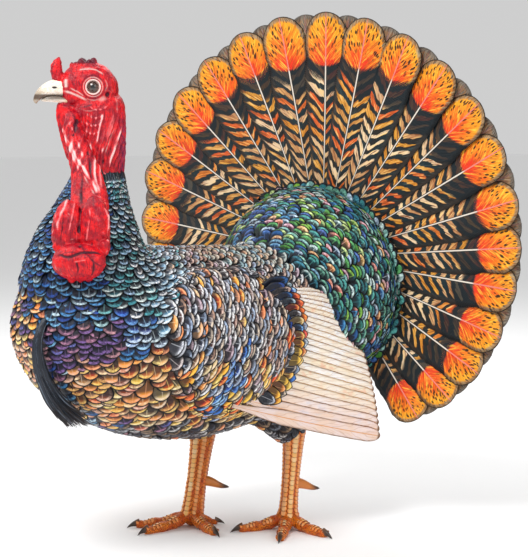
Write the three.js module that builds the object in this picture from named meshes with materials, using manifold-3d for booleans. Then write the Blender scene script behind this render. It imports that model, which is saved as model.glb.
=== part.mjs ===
// A strutting wild turkey cock, life size, as closed solids: one named mesh for each part of the bird.
// Millimetres. +Z is up, the bird faces -Y and its left side is +X. At the end it is moved onto the floor.
import * as THREE from "three";
import { mergeVertices } from "three/addons/utils/BufferGeometryUtils.js";
import Module from "manifold-3d";

const wasm = await Module();
wasm.setup();

// ---- Driving dimensions ----
const GAP = 0.32; // left between parts that touch
const FLOOR = 8; // the height of the soles until the bird is moved
const V = (x, y, z) => new THREE.Vector3(x, y, z);
const rad = THREE.MathUtils.degToRad;
const UP = V(0, 0, 1);
const LEFT = V(1, 0, 0);

const BREAST_Y = -436; // front of the breast
const RUMP_Y = 176; // rear of the trunk
const TRUNK_Z = 335; // height of the middle of the trunk
const TRUNK_HALF_WIDTH = 150;
const TRUNK_HALF_HEIGHT = 163;

const NECK_TOP_Z = 640; // where the feathers of the neck end
const HEAD_AT = V(-5, -312, 751); // the middle of the skull, between the eyes
const HEAD_YAW = rad(-22); // the head looks a little to the bird's right
const EYE_RADIUS = 10.6;

const TAIL_ROOT = V(4, 176, 461);
const TAIL_YAW = rad(18); // the fan is swung towards the bird's left
const TAIL_LEAN = rad(-2); // and leans a little forward over the back
const TAIL_ROLL = rad(20); // and is rolled to the left
const FAN_HALF_SPREAD = rad(124);
const FAN_FEATHERS = 20;
const FAN_RADIUS = 386; // of the circle that the tips lie on
const FAN_RISE = 42; // how far that circle's middle lies above the root
const OUTERMOST_SHORTER = 0.05; // the share of its length that the outermost feather lacks
const FAN_HALF_WIDTH = 44; // of a tail feather
const DOME_RADIUS = 180; // the raised rump in front of the fan
const DOME_DEPTH = 150;

const FEET = {
  left: { at: [69, 42], hock: [72, 54], toes: [-18, 42, 90], hallux: 212, spur: 165, side: 1 },
  right: { at: [-50, -72], hock: [-56, -40], toes: [78, 2, -28], hallux: 150, spur: 150, side: -1 },
};
const HOCK_Z = 178;
const TOE_LENGTHS = [90, 104, 98]; // inner, middle and outer toe without the claw
const TOE_THICK = 12.5; // half its width where it begins
const HALLUX = { length: 44, thick: 8, lift: 8, claw: 5 }; // the hind toe
const CLAW_SIZE = 6.4; // half the width of a front claw where it begins

// ---- Solids ----

// Volume of a closed indexed surface, negative where its faces point in.
function signedVolume(geometry) {
  const p = geometry.getAttribute("position");
  const index = geometry.index.array;
  const [a, b, c] = [V(0, 0, 0), V(0, 0, 0), V(0, 0, 0)];
  let sum = 0;
  for (let i = 0; i < index.length; i += 3) {
    a.fromBufferAttribute(p, index[i]);
    b.fromBufferAttribute(p, index[i + 1]);
    c.fromBufferAttribute(p, index[i + 2]);
    sum += a.dot(b.cross(c)) / 6;
  }
  return sum;
}

function closedGeometry(points, index) {
  const geometry = new THREE.BufferGeometry().setFromPoints(points);
  geometry.setIndex(index);
  if (signedVolume(geometry) < 0) geometry.setIndex(index.reverse());
  return geometry;
}

// A closed skin over rings that all have the same number of points, with a fan over each end.
function ringSkin(rings) {
  const n = rings[0].length;
  const points = rings.flat();
  const index = [];
  for (let r = 0; r + 1 < rings.length; r++) {
    for (let k = 0; k < n; k++) {
      const a = r * n + k;
      const b = r * n + ((k + 1) % n);
      index.push(a, b, b + n, a, b + n, a + n);
    }
  }
  const middle = (ring) => ring.reduce((sum, p) => sum.add(p), V(0, 0, 0)).divideScalar(n);
  const first = points.length;
  const lastRing = first - n;
  points.push(middle(rings[0]), middle(rings.at(-1)));
  for (let k = 0; k < n; k++) {
    const next = (k + 1) % n;
    index.push(first, next, k, first + 1, lastRing + k, lastRing + next);
  }
  return closedGeometry(points, index);
}

// A thin plate over a grid of points, as thick as each point says, split alike on both of its faces.
function plate(grid, normals, thickness) {
  const rows = grid.length;
  const columns = grid[0].length;
  const points = [];
  for (const side of [0.5, -0.5]) {
    grid.forEach((row, r) =>
      row.forEach((p, c) => points.push(p.clone().addScaledVector(normals[r][c], side * thickness[r][c]))),
    );
  }
  const at = (face, r, c) => face * rows * columns + r * columns + c;
  const index = [];
  const quad = (a, b, c, d) => index.push(a, b, c, a, c, d);
  for (let r = 0; r + 1 < rows; r++) {
    for (let c = 0; c + 1 < columns; c++) {
      quad(at(0, r, c), at(0, r, c + 1), at(0, r + 1, c + 1), at(0, r + 1, c));
      const [p, q, s, t] = [at(1, r, c), at(1, r, c + 1), at(1, r + 1, c + 1), at(1, r + 1, c)];
      index.push(p, s, q, p, t, s);
    }
    quad(at(0, r + 1, 0), at(1, r + 1, 0), at(1, r, 0), at(0, r, 0));
    const last = columns - 1;
    quad(at(0, r, last), at(1, r, last), at(1, r + 1, last), at(0, r + 1, last));
  }
  for (let c = 0; c + 1 < columns; c++) {
    quad(at(0, 0, c), at(1, 0, c), at(1, 0, c + 1), at(0, 0, c + 1));
    const last = rows - 1;
    quad(at(0, last, c + 1), at(1, last, c + 1), at(1, last, c), at(0, last, c));
  }
  return closedGeometry(points, index);
}

function solidOf(geometry) {
  const bare = geometry.clone();
  bare.deleteAttribute("normal");
  bare.deleteAttribute("uv");
  const merged = mergeVertices(bare, 1e-4);
  return new wasm.Manifold(
    new wasm.Mesh({
      numProp: 3,
      vertProperties: merged.getAttribute("position").array,
      triVerts: new Uint32Array(merged.index.array),
    }),
  );
}

function geometryOf(solid) {
  const mesh = solid.getMesh();
  const geometry = new THREE.BufferGeometry();
  geometry.setAttribute("position", new THREE.BufferAttribute(mesh.vertProperties, 3));
  geometry.setIndex(new THREE.BufferAttribute(mesh.triVerts, 1));
  return geometry;
}

// The largest closed surface of a solid, as a geometry.
function largest(solid) {
  const pieces = solid.decompose();
  return geometryOf(pieces.reduce((best, piece) => (piece.volume() > best.volume() ? piece : best)));
}

const fuse = (...geometries) => largest(wasm.Manifold.union(geometries.flat(2).map(solidOf)));
const carve = (geometry, ...cutters) =>
  largest(solidOf(geometry).subtract(wasm.Manifold.union(cutters.flat(2).map(solidOf))));

// The same closed surface, moved out by a little, to cut a neighbour clear of it.
function grown(geometry, by = GAP) {
  const copy = geometry.clone();
  copy.deleteAttribute("normal");
  copy.deleteAttribute("uv");
  const merged = mergeVertices(copy, 1e-4);
  merged.computeVertexNormals();
  const p = merged.getAttribute("position");
  const n = merged.getAttribute("normal");
  for (let i = 0; i < p.count; i++) {
    p.setXYZ(i, p.getX(i) + by * n.getX(i), p.getY(i) + by * n.getY(i), p.getZ(i) + by * n.getZ(i));
  }
  merged.deleteAttribute("normal");
  return merged;
}

// ---- Shapes ----

// How full a rounded end is, s of the way into it: a quarter of a superellipse.
const roundEnd = (s, power) => Math.pow(1 - Math.pow(1 - Math.min(1, s), power), 1 / power);

// The place, directions and half sizes of a body's section, u of the way along its stations. A station is
// {at, half: [wide, high]}.
function sections(stations, side = LEFT) {
  const centre = new THREE.CatmullRomCurve3(stations.map((s) => V(...s.at)));
  const halves = new THREE.CatmullRomCurve3(stations.map((s) => V(s.half[0], s.half[1], 0)));
  return (u) => {
    const tangent = centre.getTangent(u);
    const high = new THREE.Vector3().crossVectors(side, tangent).normalize();
    const wide = new THREE.Vector3().crossVectors(tangent, high).normalize();
    return { at: centre.getPoint(u), wide, high, half: halves.getPoint(u) };
  };
}

// How much of its full section a body has at u. `caps` are the shares of its length that its two ends take
// to close.
function closing(u, caps, power) {
  const open = caps[0] > 0 ? roundEnd(u / caps[0], power) : 1;
  const shut = caps[1] > 0 ? roundEnd((1 - u) / caps[1], power) : 1;
  return Math.max(0.02, open * shut);
}

// A body swept along stations, with its width kept along `side`. shape(angle, u) scales the section.
function sweep({ stations, rings, sides, caps = [0.1, 0.1], power = 2, side = LEFT, shape }) {
  const section = sections(stations, side);
  const made = [];
  for (let r = 0; r < rings; r++) {
    const t = r / (rings - 1);
    const u = THREE.MathUtils.clamp((t + (1 - Math.cos(Math.PI * t)) / 2) / 2, 0, 1);
    const { at, wide, high, half } = section(u);
    const scale = closing(u, caps, power);
    const ring = [];
    for (let k = 0; k < sides; k++) {
      const angle = (2 * Math.PI * (k + 0.5)) / sides;
      const f = scale * (shape ? shape(angle, u) : 1);
      const p = at.clone().addScaledVector(wide, half.x * f * Math.cos(angle));
      ring.push(p.addScaledVector(high, half.y * f * Math.sin(angle)));
    }
    made.push(ring);
  }
  return ringSkin(made);
}

function ellipsoid(at, half, turn = new THREE.Matrix4(), sides = 12, rows = 8) {
  return new THREE.SphereGeometry(1, sides, rows)
    .scale(...half)
    .applyMatrix4(turn)
    .translate(at.x, at.y, at.z);
}

// How wide a feather is along its shaft, as a share of its widest.
function featherWidth(t, { waist, full = 0.62, tip = 0.2 }) {
  const swell = THREE.MathUtils.smoothstep(t, 0, full);
  const end = t > 1 - tip ? Math.sqrt(Math.max(0.02, 1 - Math.pow((t - 1 + tip) / tip, 2))) : 1;
  return (waist + (1 - waist) * swell) * end;
}

// Where a feather's rows lie along its shaft: a few on the vane, and `round` of them on its rounded tip.
function featherRows(vane, round, tip) {
  const rows = [];
  for (let i = 0; i < vane; i++) rows.push(((1 - tip) * i) / (vane - 1));
  for (let i = 1; i <= round; i++) rows.push(1 - tip + tip * Math.sin((0.5 * Math.PI * i) / round));
  return rows;
}

// One feather as a cambered plate: from root along `along`, facing `normal`, bending by `bend` towards the
// normal and by `side` across it at its tip. `widths` are its two half widths, `rows` its rows on the vane.
function feather({ root, along, normal, length, widths, rows = 3, round = 2, twist = 0, bend = 0, side = 0,
  camber = 0.06, thick = [0.8, 2], waist = 0.34, full = 0.62, tip = 0.2 }) {
  const out = normal.clone().addScaledVector(along, -normal.dot(along)).normalize();
  const across = new THREE.Vector3().crossVectors(along, out);
  const grid = [];
  const normals = [];
  const thickness = [];
  const face = out.clone().applyAxisAngle(along, twist);
  const over = across.clone().applyAxisAngle(along, twist);
  for (const t of featherRows(rows, round, tip)) {
    const shaft = root
      .clone()
      .addScaledVector(along, length * t)
      .addScaledVector(out, bend * t * t)
      .addScaledVector(across, side * t * t);
    const wide = featherWidth(t, { waist, full, tip });
    const edge = (half, sign) =>
      shaft
        .clone()
        .addScaledVector(over, sign * half * wide)
        .addScaledVector(face, -camber * half * wide);
    grid.push([edge(widths[0], -1), shaft, edge(widths[1], 1)]);
    normals.push([face, face, face]);
    const rib = THREE.MathUtils.lerp(thick[1], thick[0], t);
    thickness.push([thick[0], Math.max(thick[0], rib), thick[0]]);
  }
  return plate(grid, normals, thickness);
}

// ---- Trunk and neck ----
const trunkLength = RUMP_Y - BREAST_Y;
const TRUNK_CAPS = [0.22, 0.14];
const TRUNK_POWER = 2.3;
// Along the trunk: the share of its length, the height of its middle, and its width and height as shares.
const TRUNK_STATIONS = [
  [0, TRUNK_Z + 66, 0.82, 0.62],
  [0.16, TRUNK_Z + 42, 0.97, 0.82],
  [0.34, TRUNK_Z + 12, 1, 0.98],
  [0.52, TRUNK_Z - 1, 1, 1.01],
  [0.7, TRUNK_Z + 8, 0.94, 0.95],
  [0.86, TRUNK_Z + 30, 0.78, 0.78],
  [1, TRUNK_Z + 60, 0.5, 0.52],
].map(([share, z, wide, high]) => ({
  at: [0, BREAST_Y + share * trunkLength, z],
  half: [wide * TRUNK_HALF_WIDTH, high * TRUNK_HALF_HEIGHT],
}));
const trunk = sweep({
  stations: TRUNK_STATIONS,
  rings: 17,
  sides: 20,
  caps: TRUNK_CAPS,
  power: TRUNK_POWER,
});
const trunkSection = sections(TRUNK_STATIONS);
// A point on the trunk: u along it, `angle` up from its side, and `out` from its surface.
function onTrunk(u, angle, out, side = 1) {
  const { at, wide, high, half } = trunkSection(u);
  const scale = closing(u, TRUNK_CAPS, TRUNK_POWER);
  const p = at.clone().addScaledVector(wide, (half.x * scale + out) * Math.cos(angle));
  p.addScaledVector(high, (half.y * scale + out) * Math.sin(angle));
  return V(p.x * side, p.y, p.z);
}

const feathered = sweep({
  stations: [
    { at: [0, -294, 380], half: [114, 118] },
    { at: [0, -310, 440], half: [118, 124] },
    { at: [0, -315, 490], half: [99, 107] },
    { at: [0, -308, 536], half: [76, 82] },
    { at: [0, -300, 582], half: [55, 60] },
    { at: [0, -294, 614], half: [44, 48] },
    { at: [0, -293, NECK_TOP_Z], half: [39, 43] },
  ],
  rings: 12,
  sides: 16,
  caps: [0.12, 0],
});

// ---- Head ----
const headTurn = new THREE.Matrix4().makeRotationZ(HEAD_YAW);
const headPlace = new THREE.Matrix4().makeTranslation(HEAD_AT).multiply(headTurn);
const placed = (geometry) => geometry.applyMatrix4(headPlace);
// Stations of a head part are given from the middle of the skull: to the bird's left, forward and up.
const headSweep = ({ stations, ...rest }) => {
  const turned = stations.map(({ at, half }) => ({ at: [at[0], -at[1], at[2]], half }));
  return placed(sweep({ ...rest, stations: turned }));
};
const headBulb = (left, forward, up, half, sides = 7, rows = 5) =>
  placed(ellipsoid(V(left, -forward, up), half, undefined, sides, rows));

const SKULL_HALF_WIDTH = 26;
const skull = headSweep({
  stations: [
    { at: [0, -48, -14], half: [21, 22] },
    { at: [0, -29, -4], half: [25.5, 31] },
    { at: [0, -6, 3], half: [SKULL_HALF_WIDTH, 38] },
    { at: [0, 14, 1], half: [24, 35] },
    { at: [0, 30, -3], half: [18.5, 27] },
    { at: [0, 44, -6], half: [13, 18] },
  ],
  rings: 12,
  sides: 14,
  caps: [0.3, 0.1],
});

const EYE = { left: 17.1, forward: -5, up: 1 };
const EYE_RIM = 11.1;
const LID_THICK = 2.2; // half the thickness of the rim round the eye
const LID_OUT = 7.4; // how far out from the middle of the eye it lies
const EYE_TURN = 9; // degrees that the eye looks forward
const eyeball = (side) =>
  placed(new THREE.SphereGeometry(EYE_RADIUS, 10, 7).translate(side * EYE.left, -EYE.forward, EYE.up));
const eyeBalls = { left: eyeball(1), right: eyeball(-1) };
// The lids: a rim round the eye, in a plane that faces out and a little forward.
const lids = (side) =>
  placed(
    new THREE.TorusGeometry(EYE_RIM, LID_THICK, 4, 10)
      .rotateY(rad(90 + side * EYE_TURN))
      .translate(side * (EYE.left + LID_OUT), -EYE.forward, EYE.up),
  );
// The cup of the ear and the line of the mouth are cut into the skin of the head.
const earCup = (side) => headBulb(side * 26, -27, -9, [4, 5, 4.5], 6, 4);
const mouthLine = (side) =>
  placed(
    new THREE.BoxGeometry(9, 34, 1.8)
      .rotateX(rad(4))
      .rotateZ(side * rad(-15))
      .translate(side * 23, -24, -20.5),
  );

// Fleshy knobs along the crown, from the snood back to the nape.
const CROWN_KNOBS = 5;
const crownKnobs = [];
for (let i = 0; i < CROWN_KNOBS; i++) {
  const s = i / (CROWN_KNOBS - 1);
  const forward = THREE.MathUtils.lerp(22, -8, s);
  const up = 24 + 16 * Math.sin(Math.PI * (0.2 + 0.35 * s));
  const size = 6 + 2 * Math.sin(5 * i);
  crownKnobs.push(headBulb(6 * Math.sin(2.4 * i), forward, up, [size, size, size * 1.2], 6, 4));
}

const upperBill = headSweep({
  stations: [
    { at: [0, 36, -1], half: [12, 15] },
    { at: [0, 50, 0], half: [10.8, 13.5] },
    { at: [0, 63, -3], half: [8.6, 11] },
    { at: [0, 74, -9], half: [6, 8] },
    { at: [0, 81, -18], half: [3.4, 5] },
    { at: [0, 82, -25], half: [1.6, 2.4] },
  ],
  rings: 8,
  sides: 10,
  caps: [0.05, 0.14],
});
const nostril = (side) => headBulb(side * 10.4, 54, 0, [3, 5, 2.4], 6, 4);
const lowerBill = headSweep({
  stations: [
    { at: [0, 32, -20], half: [10.4, 6] },
    { at: [0, 49, -17.6], half: [9, 5.4] },
    { at: [0, 64, -17.6], half: [6.4, 4.4] },
    { at: [0, 74, -20], half: [3.2, 2.6] },
  ],
  rings: 6,
  sides: 8,
  caps: [0.05, 0.14],
});

const snood = headSweep({
  stations: [
    { at: [0, 38, 4], half: [8, 8] },
    { at: [0, 46, 16], half: [8.6, 10] },
    { at: [0, 49, 31], half: [7.6, 9] },
    { at: [0, 44, 49], half: [4.6, 5.4] },
  ],
  rings: 8,
  sides: 8,
  caps: [0.05, 0.3],
});

const NECK_SIDE = V(Math.cos(HEAD_YAW), Math.sin(HEAD_YAW), 0);
const NECK_FOLDS = 6; // that run down the bare neck, and turn a little round it
const bareNeck = sweep({
  stations: [
    { at: [0, -295, 626], half: [36, 41] },
    { at: [0, -295, 660], half: [36, 43] },
    { at: [0, -296, 692], half: [34, 44.5] },
    { at: [-1, -298, 722], half: [31, 45] },
    { at: [-1, -303, 748], half: [24, 37] },
  ],
  rings: 7,
  sides: 18,
  caps: [0, 0.2],
  side: NECK_SIDE,
  shape: (angle, u) => 1 + 0.075 * Math.cos(NECK_FOLDS * angle + 2.6 * u),
});
// The loose skin that hangs in front of the throat.
const throatFlap = headSweep({
  stations: [
    { at: [0, 38, -18], half: [9, 12] },
    { at: [0, 34, -42], half: [10, 16] },
    { at: [0, 30, -64], half: [10, 16] },
    { at: [0, 27, -88], half: [10, 13] },
    { at: [0, 22, -116], half: [9, 10] },
  ],
  rings: 6,
  sides: 8,
  caps: [0.12, 0.1],
});

// ---- Wattle ----
// Wrinkled skin that crosses from the throat to the bird's left and ends in three lobes.
const wattleStem = sweep({
  stations: [
    { at: [-6, -338, 716], half: [11, 14] },
    { at: [4, -346, 690], half: [14, 16] },
    { at: [20, -347, 655], half: [18, 16] },
    { at: [40, -346, 616], half: [24, 17] },
    { at: [58, -353, 578], half: [30, 19] },
    { at: [72, -366, 540], half: [34, 22] },
  ],
  rings: 8,
  sides: 10,
  caps: [0.1, 0.15],
  side: V(0.8, 0.6, 0),
});
const wattleLobe = (at, half, sides = 9, rows = 6) =>
  ellipsoid(at, half, new THREE.Matrix4().makeRotationZ(rad(38)), sides, rows);
const wattleLobes = [
  wattleLobe(V(61, -393, 530), [27, 21, 49]),
  wattleLobe(V(92, -366, 532), [24, 21, 55]),
  wattleLobe(V(92, -396, 486), [43, 26, 28], 10),
];
// Bulbs along the edges of the lobes.
const WATTLE_BULBS = 4;
const wattleBulbs = [];
for (let i = 0; i < WATTLE_BULBS; i++) {
  const angle = rad(-205 + (230 * i) / (WATTLE_BULBS - 1));
  const size = 11 + 2 * Math.sin(2.7 * i);
  const across = 36 * Math.cos(angle);
  const at = V(84 + 0.79 * across, -386 + 0.62 * across, 514 + 50 * Math.sin(angle));
  wattleBulbs.push(wattleLobe(at, [size, size, size * 1.2], 6, 5));
}

// ---- Tail ----
const ahead = V(Math.sin(TAIL_YAW), -Math.cos(TAIL_YAW), 0);
// The direction `angle` of the way from one direction to another that is square to it.
const between = (from, to, angle) =>
  from.clone().multiplyScalar(Math.cos(angle)).addScaledVector(to, Math.sin(angle));
const fanFace = between(ahead, UP, TAIL_LEAN);
const level = V(Math.cos(TAIL_YAW), Math.sin(TAIL_YAW), 0);
const rise = new THREE.Vector3().crossVectors(fanFace, level);
const fanUp = between(rise, level, TAIL_ROLL);
const fanLeft = between(level, rise, -TAIL_ROLL);
// A point given in the fan: from its root, towards its left, along its middle and out of its front face.
const onFan = (left, up, out) =>
  TAIL_ROOT.clone().addScaledVector(fanLeft, left).addScaledVector(fanUp, up).addScaledVector(fanFace, out);
const fanTurn = new THREE.Matrix4().makeBasis(fanLeft, fanUp, fanFace);
const spoke = (angle) => between(fanUp, fanLeft, angle);
// From the root to the circle of the tips, whose middle lies straight above the root. The outermost
// feathers are shorter.
function spokeLength(angle, radius) {
  const off = angle + TAIL_ROLL;
  const aside = FAN_RISE * Math.sin(off);
  const whole = FAN_RISE * Math.cos(off) + Math.sqrt(radius * radius - aside * aside);
  return whole * (1 - OUTERMOST_SHORTER * Math.pow(Math.abs(angle) / FAN_HALF_SPREAD, 8));
}

const FAN_SHINGLE = rad(5); // each tail feather is turned about its shaft, so that it lies over the next
const ROOT_REACH = 14; // how far from the root of the fan the feathers begin
const spacing = (2 * FAN_HALF_SPREAD) / (FAN_FEATHERS - 1);
const rectrices = [];
for (let i = 0; i < FAN_FEATHERS; i++) {
  const angle = -FAN_HALF_SPREAD + i * spacing;
  const along = spoke(angle);
  const top = i === FAN_FEATHERS / 2 - 1;
  rectrices.push(
    feather({
      root: onFan(0, 0, top ? 4 : 0).addScaledVector(along, ROOT_REACH),
      along,
      normal: fanFace,
      length: spokeLength(angle, FAN_RADIUS) - ROOT_REACH,
      widths: [FAN_HALF_WIDTH, FAN_HALF_WIDTH],
      rows: 3,
      round: 2,
      twist: top ? 0 : Math.sign(angle) * -FAN_SHINGLE,
      bend: 10,
      waist: 0.22,
      full: 0.8,
      tip: 0.11,
      camber: 0.03,
      thick: [0.8, 3.2],
    }),
  );
}
// The flat mass of quills and down that the tail feathers spring from.
const HUB = { down: 62, half: [112, 146, 14] };
const hub = ellipsoid(onFan(0, -HUB.down, 0), HUB.half, fanTurn, 12, 4);
// Half of space behind or before the plane that lies `out` from the fan.
const HALF_SPACE = 900;
const halfSpace = (out, sign) =>
  new THREE.BoxGeometry(HALF_SPACE, HALF_SPACE, HALF_SPACE)
    .translate(0, 0, (sign * HALF_SPACE) / 2)
    .applyMatrix4(fanTurn)
    .translate(...onFan(0, 0, out).toArray());

const DOME_BASE = 17; // the raised rump begins this far in front of the fan
const DOME_SHIFT = { left: 6, up: -48 };
const domeCentre = onFan(DOME_SHIFT.left, DOME_SHIFT.up, DOME_BASE);
const dome = ellipsoid(domeCentre, [DOME_RADIUS, DOME_RADIUS, DOME_DEPTH], fanTurn, 16, 10);
const COVERTS = 15;
const COVERT_SPREAD = rad(236);
const COVERT_LENGTH = 78;
const COVERT_HALF_WIDTH = 26;
const COVERT_REACH = DOME_RADIUS - 60; // from the middle of the raised rump to the coverts' roots
const COVERT_RISE = DOME_BASE + 9;
const coverts = [];
for (let i = 0; i < COVERTS; i++) {
  const angle = COVERT_SPREAD * (i / (COVERTS - 1) - 0.5);
  const along = spoke(angle).multiplyScalar(0.985).addScaledVector(fanFace, -0.03).normalize();
  coverts.push(
    feather({
      root: onFan(DOME_SHIFT.left, DOME_SHIFT.up, COVERT_RISE).addScaledVector(along, COVERT_REACH),
      along,
      normal: fanFace,
      length: COVERT_LENGTH,
      widths: [COVERT_HALF_WIDTH, COVERT_HALF_WIDTH],
      rows: 2,
      twist: -rad(5) * Math.sign(angle || 1),
      waist: 0.8,
      full: 0.5,
      tip: 0.4,
      camber: 0.03,
      thick: [0.8, 1.8],
    }),
  );
}

// The soft feathers behind the fan's root.
const UNDERTAIL = { half: [128, 152, 68], down: 60, behind: 14 };
const underTailMiddle = onFan(0, -UNDERTAIL.down, -UNDERTAIL.behind);
const underTailBody = ellipsoid(underTailMiddle, UNDERTAIL.half, fanTurn, 12, 8);
const UNDER_COVERTS = 9;
const UNDER_SPREAD = rad(216);
const UNDER_LENGTH = 132;
const UNDER_HALF_WIDTH = 30;
const UNDER_REACH = 86; // from the middle of the soft feathers to the coverts' roots
const UNDER_BEHIND = 24; // and how far those lie behind the fan
const underCoverts = [];
for (let i = 0; i < UNDER_COVERTS; i++) {
  const angle = UNDER_SPREAD * (i / (UNDER_COVERTS - 1) - 0.5);
  const along = spoke(angle).addScaledVector(fanFace, -0.02).normalize();
  underCoverts.push(
    feather({
      root: onFan(0, -UNDERTAIL.down, -UNDER_BEHIND).addScaledVector(along, UNDER_REACH),
      along,
      normal: fanFace,
      length: UNDER_LENGTH,
      widths: [UNDER_HALF_WIDTH, UNDER_HALF_WIDTH],
      rows: 2,
      twist: rad(6) * Math.sign(angle || 1),
      waist: 0.7,
      full: 0.5,
      tip: 0.3,
      camber: -0.03,
      thick: [0.8, 1.8],
    }),
  );
}

// ---- Wings ----
// A folded, drooping wing: a low swelling on the trunk's side, a row of coverts along its rear edge, and
// the flight feathers that come out from under them.
const WING = { u: 0.5, angle: rad(4), halfU: 0.24, halfAngle: rad(50), thick: 27, edge: 8, sunk: 8 };
// A point on a wing's swelling: `r` from its middle (0) to its edge (1), at `turn` round it (0 to the rear).
function onWing(side, r, turn, out) {
  const u = WING.u + WING.halfU * r * Math.cos(turn);
  const angle = WING.angle + WING.halfAngle * r * Math.sin(turn);
  return onTrunk(u, angle, out, side);
}
const wingRise = (r) => WING.edge + (WING.thick - WING.edge) * Math.sqrt(Math.max(0, 1 - r * r));
const WING_FLIGHT = 10;
// The roots and the tips of the highest and of the lowest flight feather of the left wing.
const FLIGHT_ROOTS = [
  [150, -62, 424],
  [146, -185, 260],
];
const FLIGHT_TIPS = [
  [126, 64, 404],
  [146, 184, 150],
];
const FLIGHT_SWEEP = 0.62; // how soon, down the row, the tips reach back; less is sooner
const ROOT_FORWARD = 1.4; // how late, down the row, the roots reach forward; more is later
const ROOT_DROP = 1.75; // and how late they drop
const WING_COVERTS = 8;
const COVERT_TOP = 52; // degrees round the swelling, of the highest covert
const COVERT_SPAN = 112; // and on to the lowest
const COVERT_ROOT_R = 0.74; // their roots and tips, of the way from the swelling's middle to its edge
const COVERT_TIP_R = 1.05;
const FLIGHT_HALF_WIDTHS = [22, 18]; // below and above the shaft
const COVERT_HALF_WIDTHS = [26, 22];
const WING_SHINGLE = 14; // degrees that a flight feather is turned about its shaft
const COVERT_SHINGLE = 12; // and a covert
const COVERT_OUT = 156; // clear of the flight feathers
function wing(side) {
  const SIDES = 14;
  const ring = (r, out) => {
    const points = [];
    for (let k = 0; k < SIDES; k++) points.push(onWing(side, r, (2 * Math.PI * k) / SIDES, out));
    return points;
  };
  const swelling = ringSkin([
    ring(0.4, -WING.sunk),
    ring(1, -WING.sunk),
    ring(1, WING.edge),
    ...[0.85, 0.55, 0.22].map((r) => ring(r, wingRise(r))),
  ]);
  const at = (x, y, z) => V(side * x, y, z);
  const outward = at(1, 0, 0.08).normalize();
  const flight = [];
  const along = ([high, low], shares) =>
    at(...high.map((value, k) => THREE.MathUtils.lerp(value, low[k], shares[k])));
  for (let i = 0; i < WING_FLIGHT; i++) {
    const s = i / (WING_FLIGHT - 1);
    const root = along(FLIGHT_ROOTS, [s, Math.pow(s, ROOT_FORWARD), Math.pow(s, ROOT_DROP)]);
    const end = along(FLIGHT_TIPS, [s, Math.sin(1.45 * Math.pow(s, FLIGHT_SWEEP)), s]);
    const run = end.clone().sub(root);
    flight.push(
      feather({
        root,
        along: run.clone().normalize(),
        normal: outward,
        length: run.length(),
        widths: side > 0 ? FLIGHT_HALF_WIDTHS : FLIGHT_HALF_WIDTHS.toReversed(),
        rows: 3,
        twist: side * rad(WING_SHINGLE),
        side: side * -10,
        waist: 0.85,
        full: 0.4,
        tip: 0.1,
        camber: 0.05,
      }),
    );
  }
  const greater = [];
  for (let i = 0; i < WING_COVERTS; i++) {
    const turn = rad(COVERT_TOP - (COVERT_SPAN * i) / (WING_COVERTS - 1));
    const root = onWing(side, COVERT_ROOT_R, turn, wingRise(COVERT_ROOT_R) - 6);
    const end = onWing(side, COVERT_TIP_R, turn * 0.86, WING.edge + 4);
    end.x = side * Math.max(side * end.x, COVERT_OUT);
    const run = end.clone().sub(root);
    greater.push(
      feather({
        root,
        along: run.clone().normalize(),
        normal: outward,
        length: run.length(),
        widths: side > 0 ? COVERT_HALF_WIDTHS : COVERT_HALF_WIDTHS.toReversed(),
        rows: 2,
        twist: side * rad(COVERT_SHINGLE),
        waist: 0.85,
        full: 0.4,
        tip: 0.45,
        camber: 0.06,
      }),
    );
  }
  return { swelling, flight, greater };
}

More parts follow.
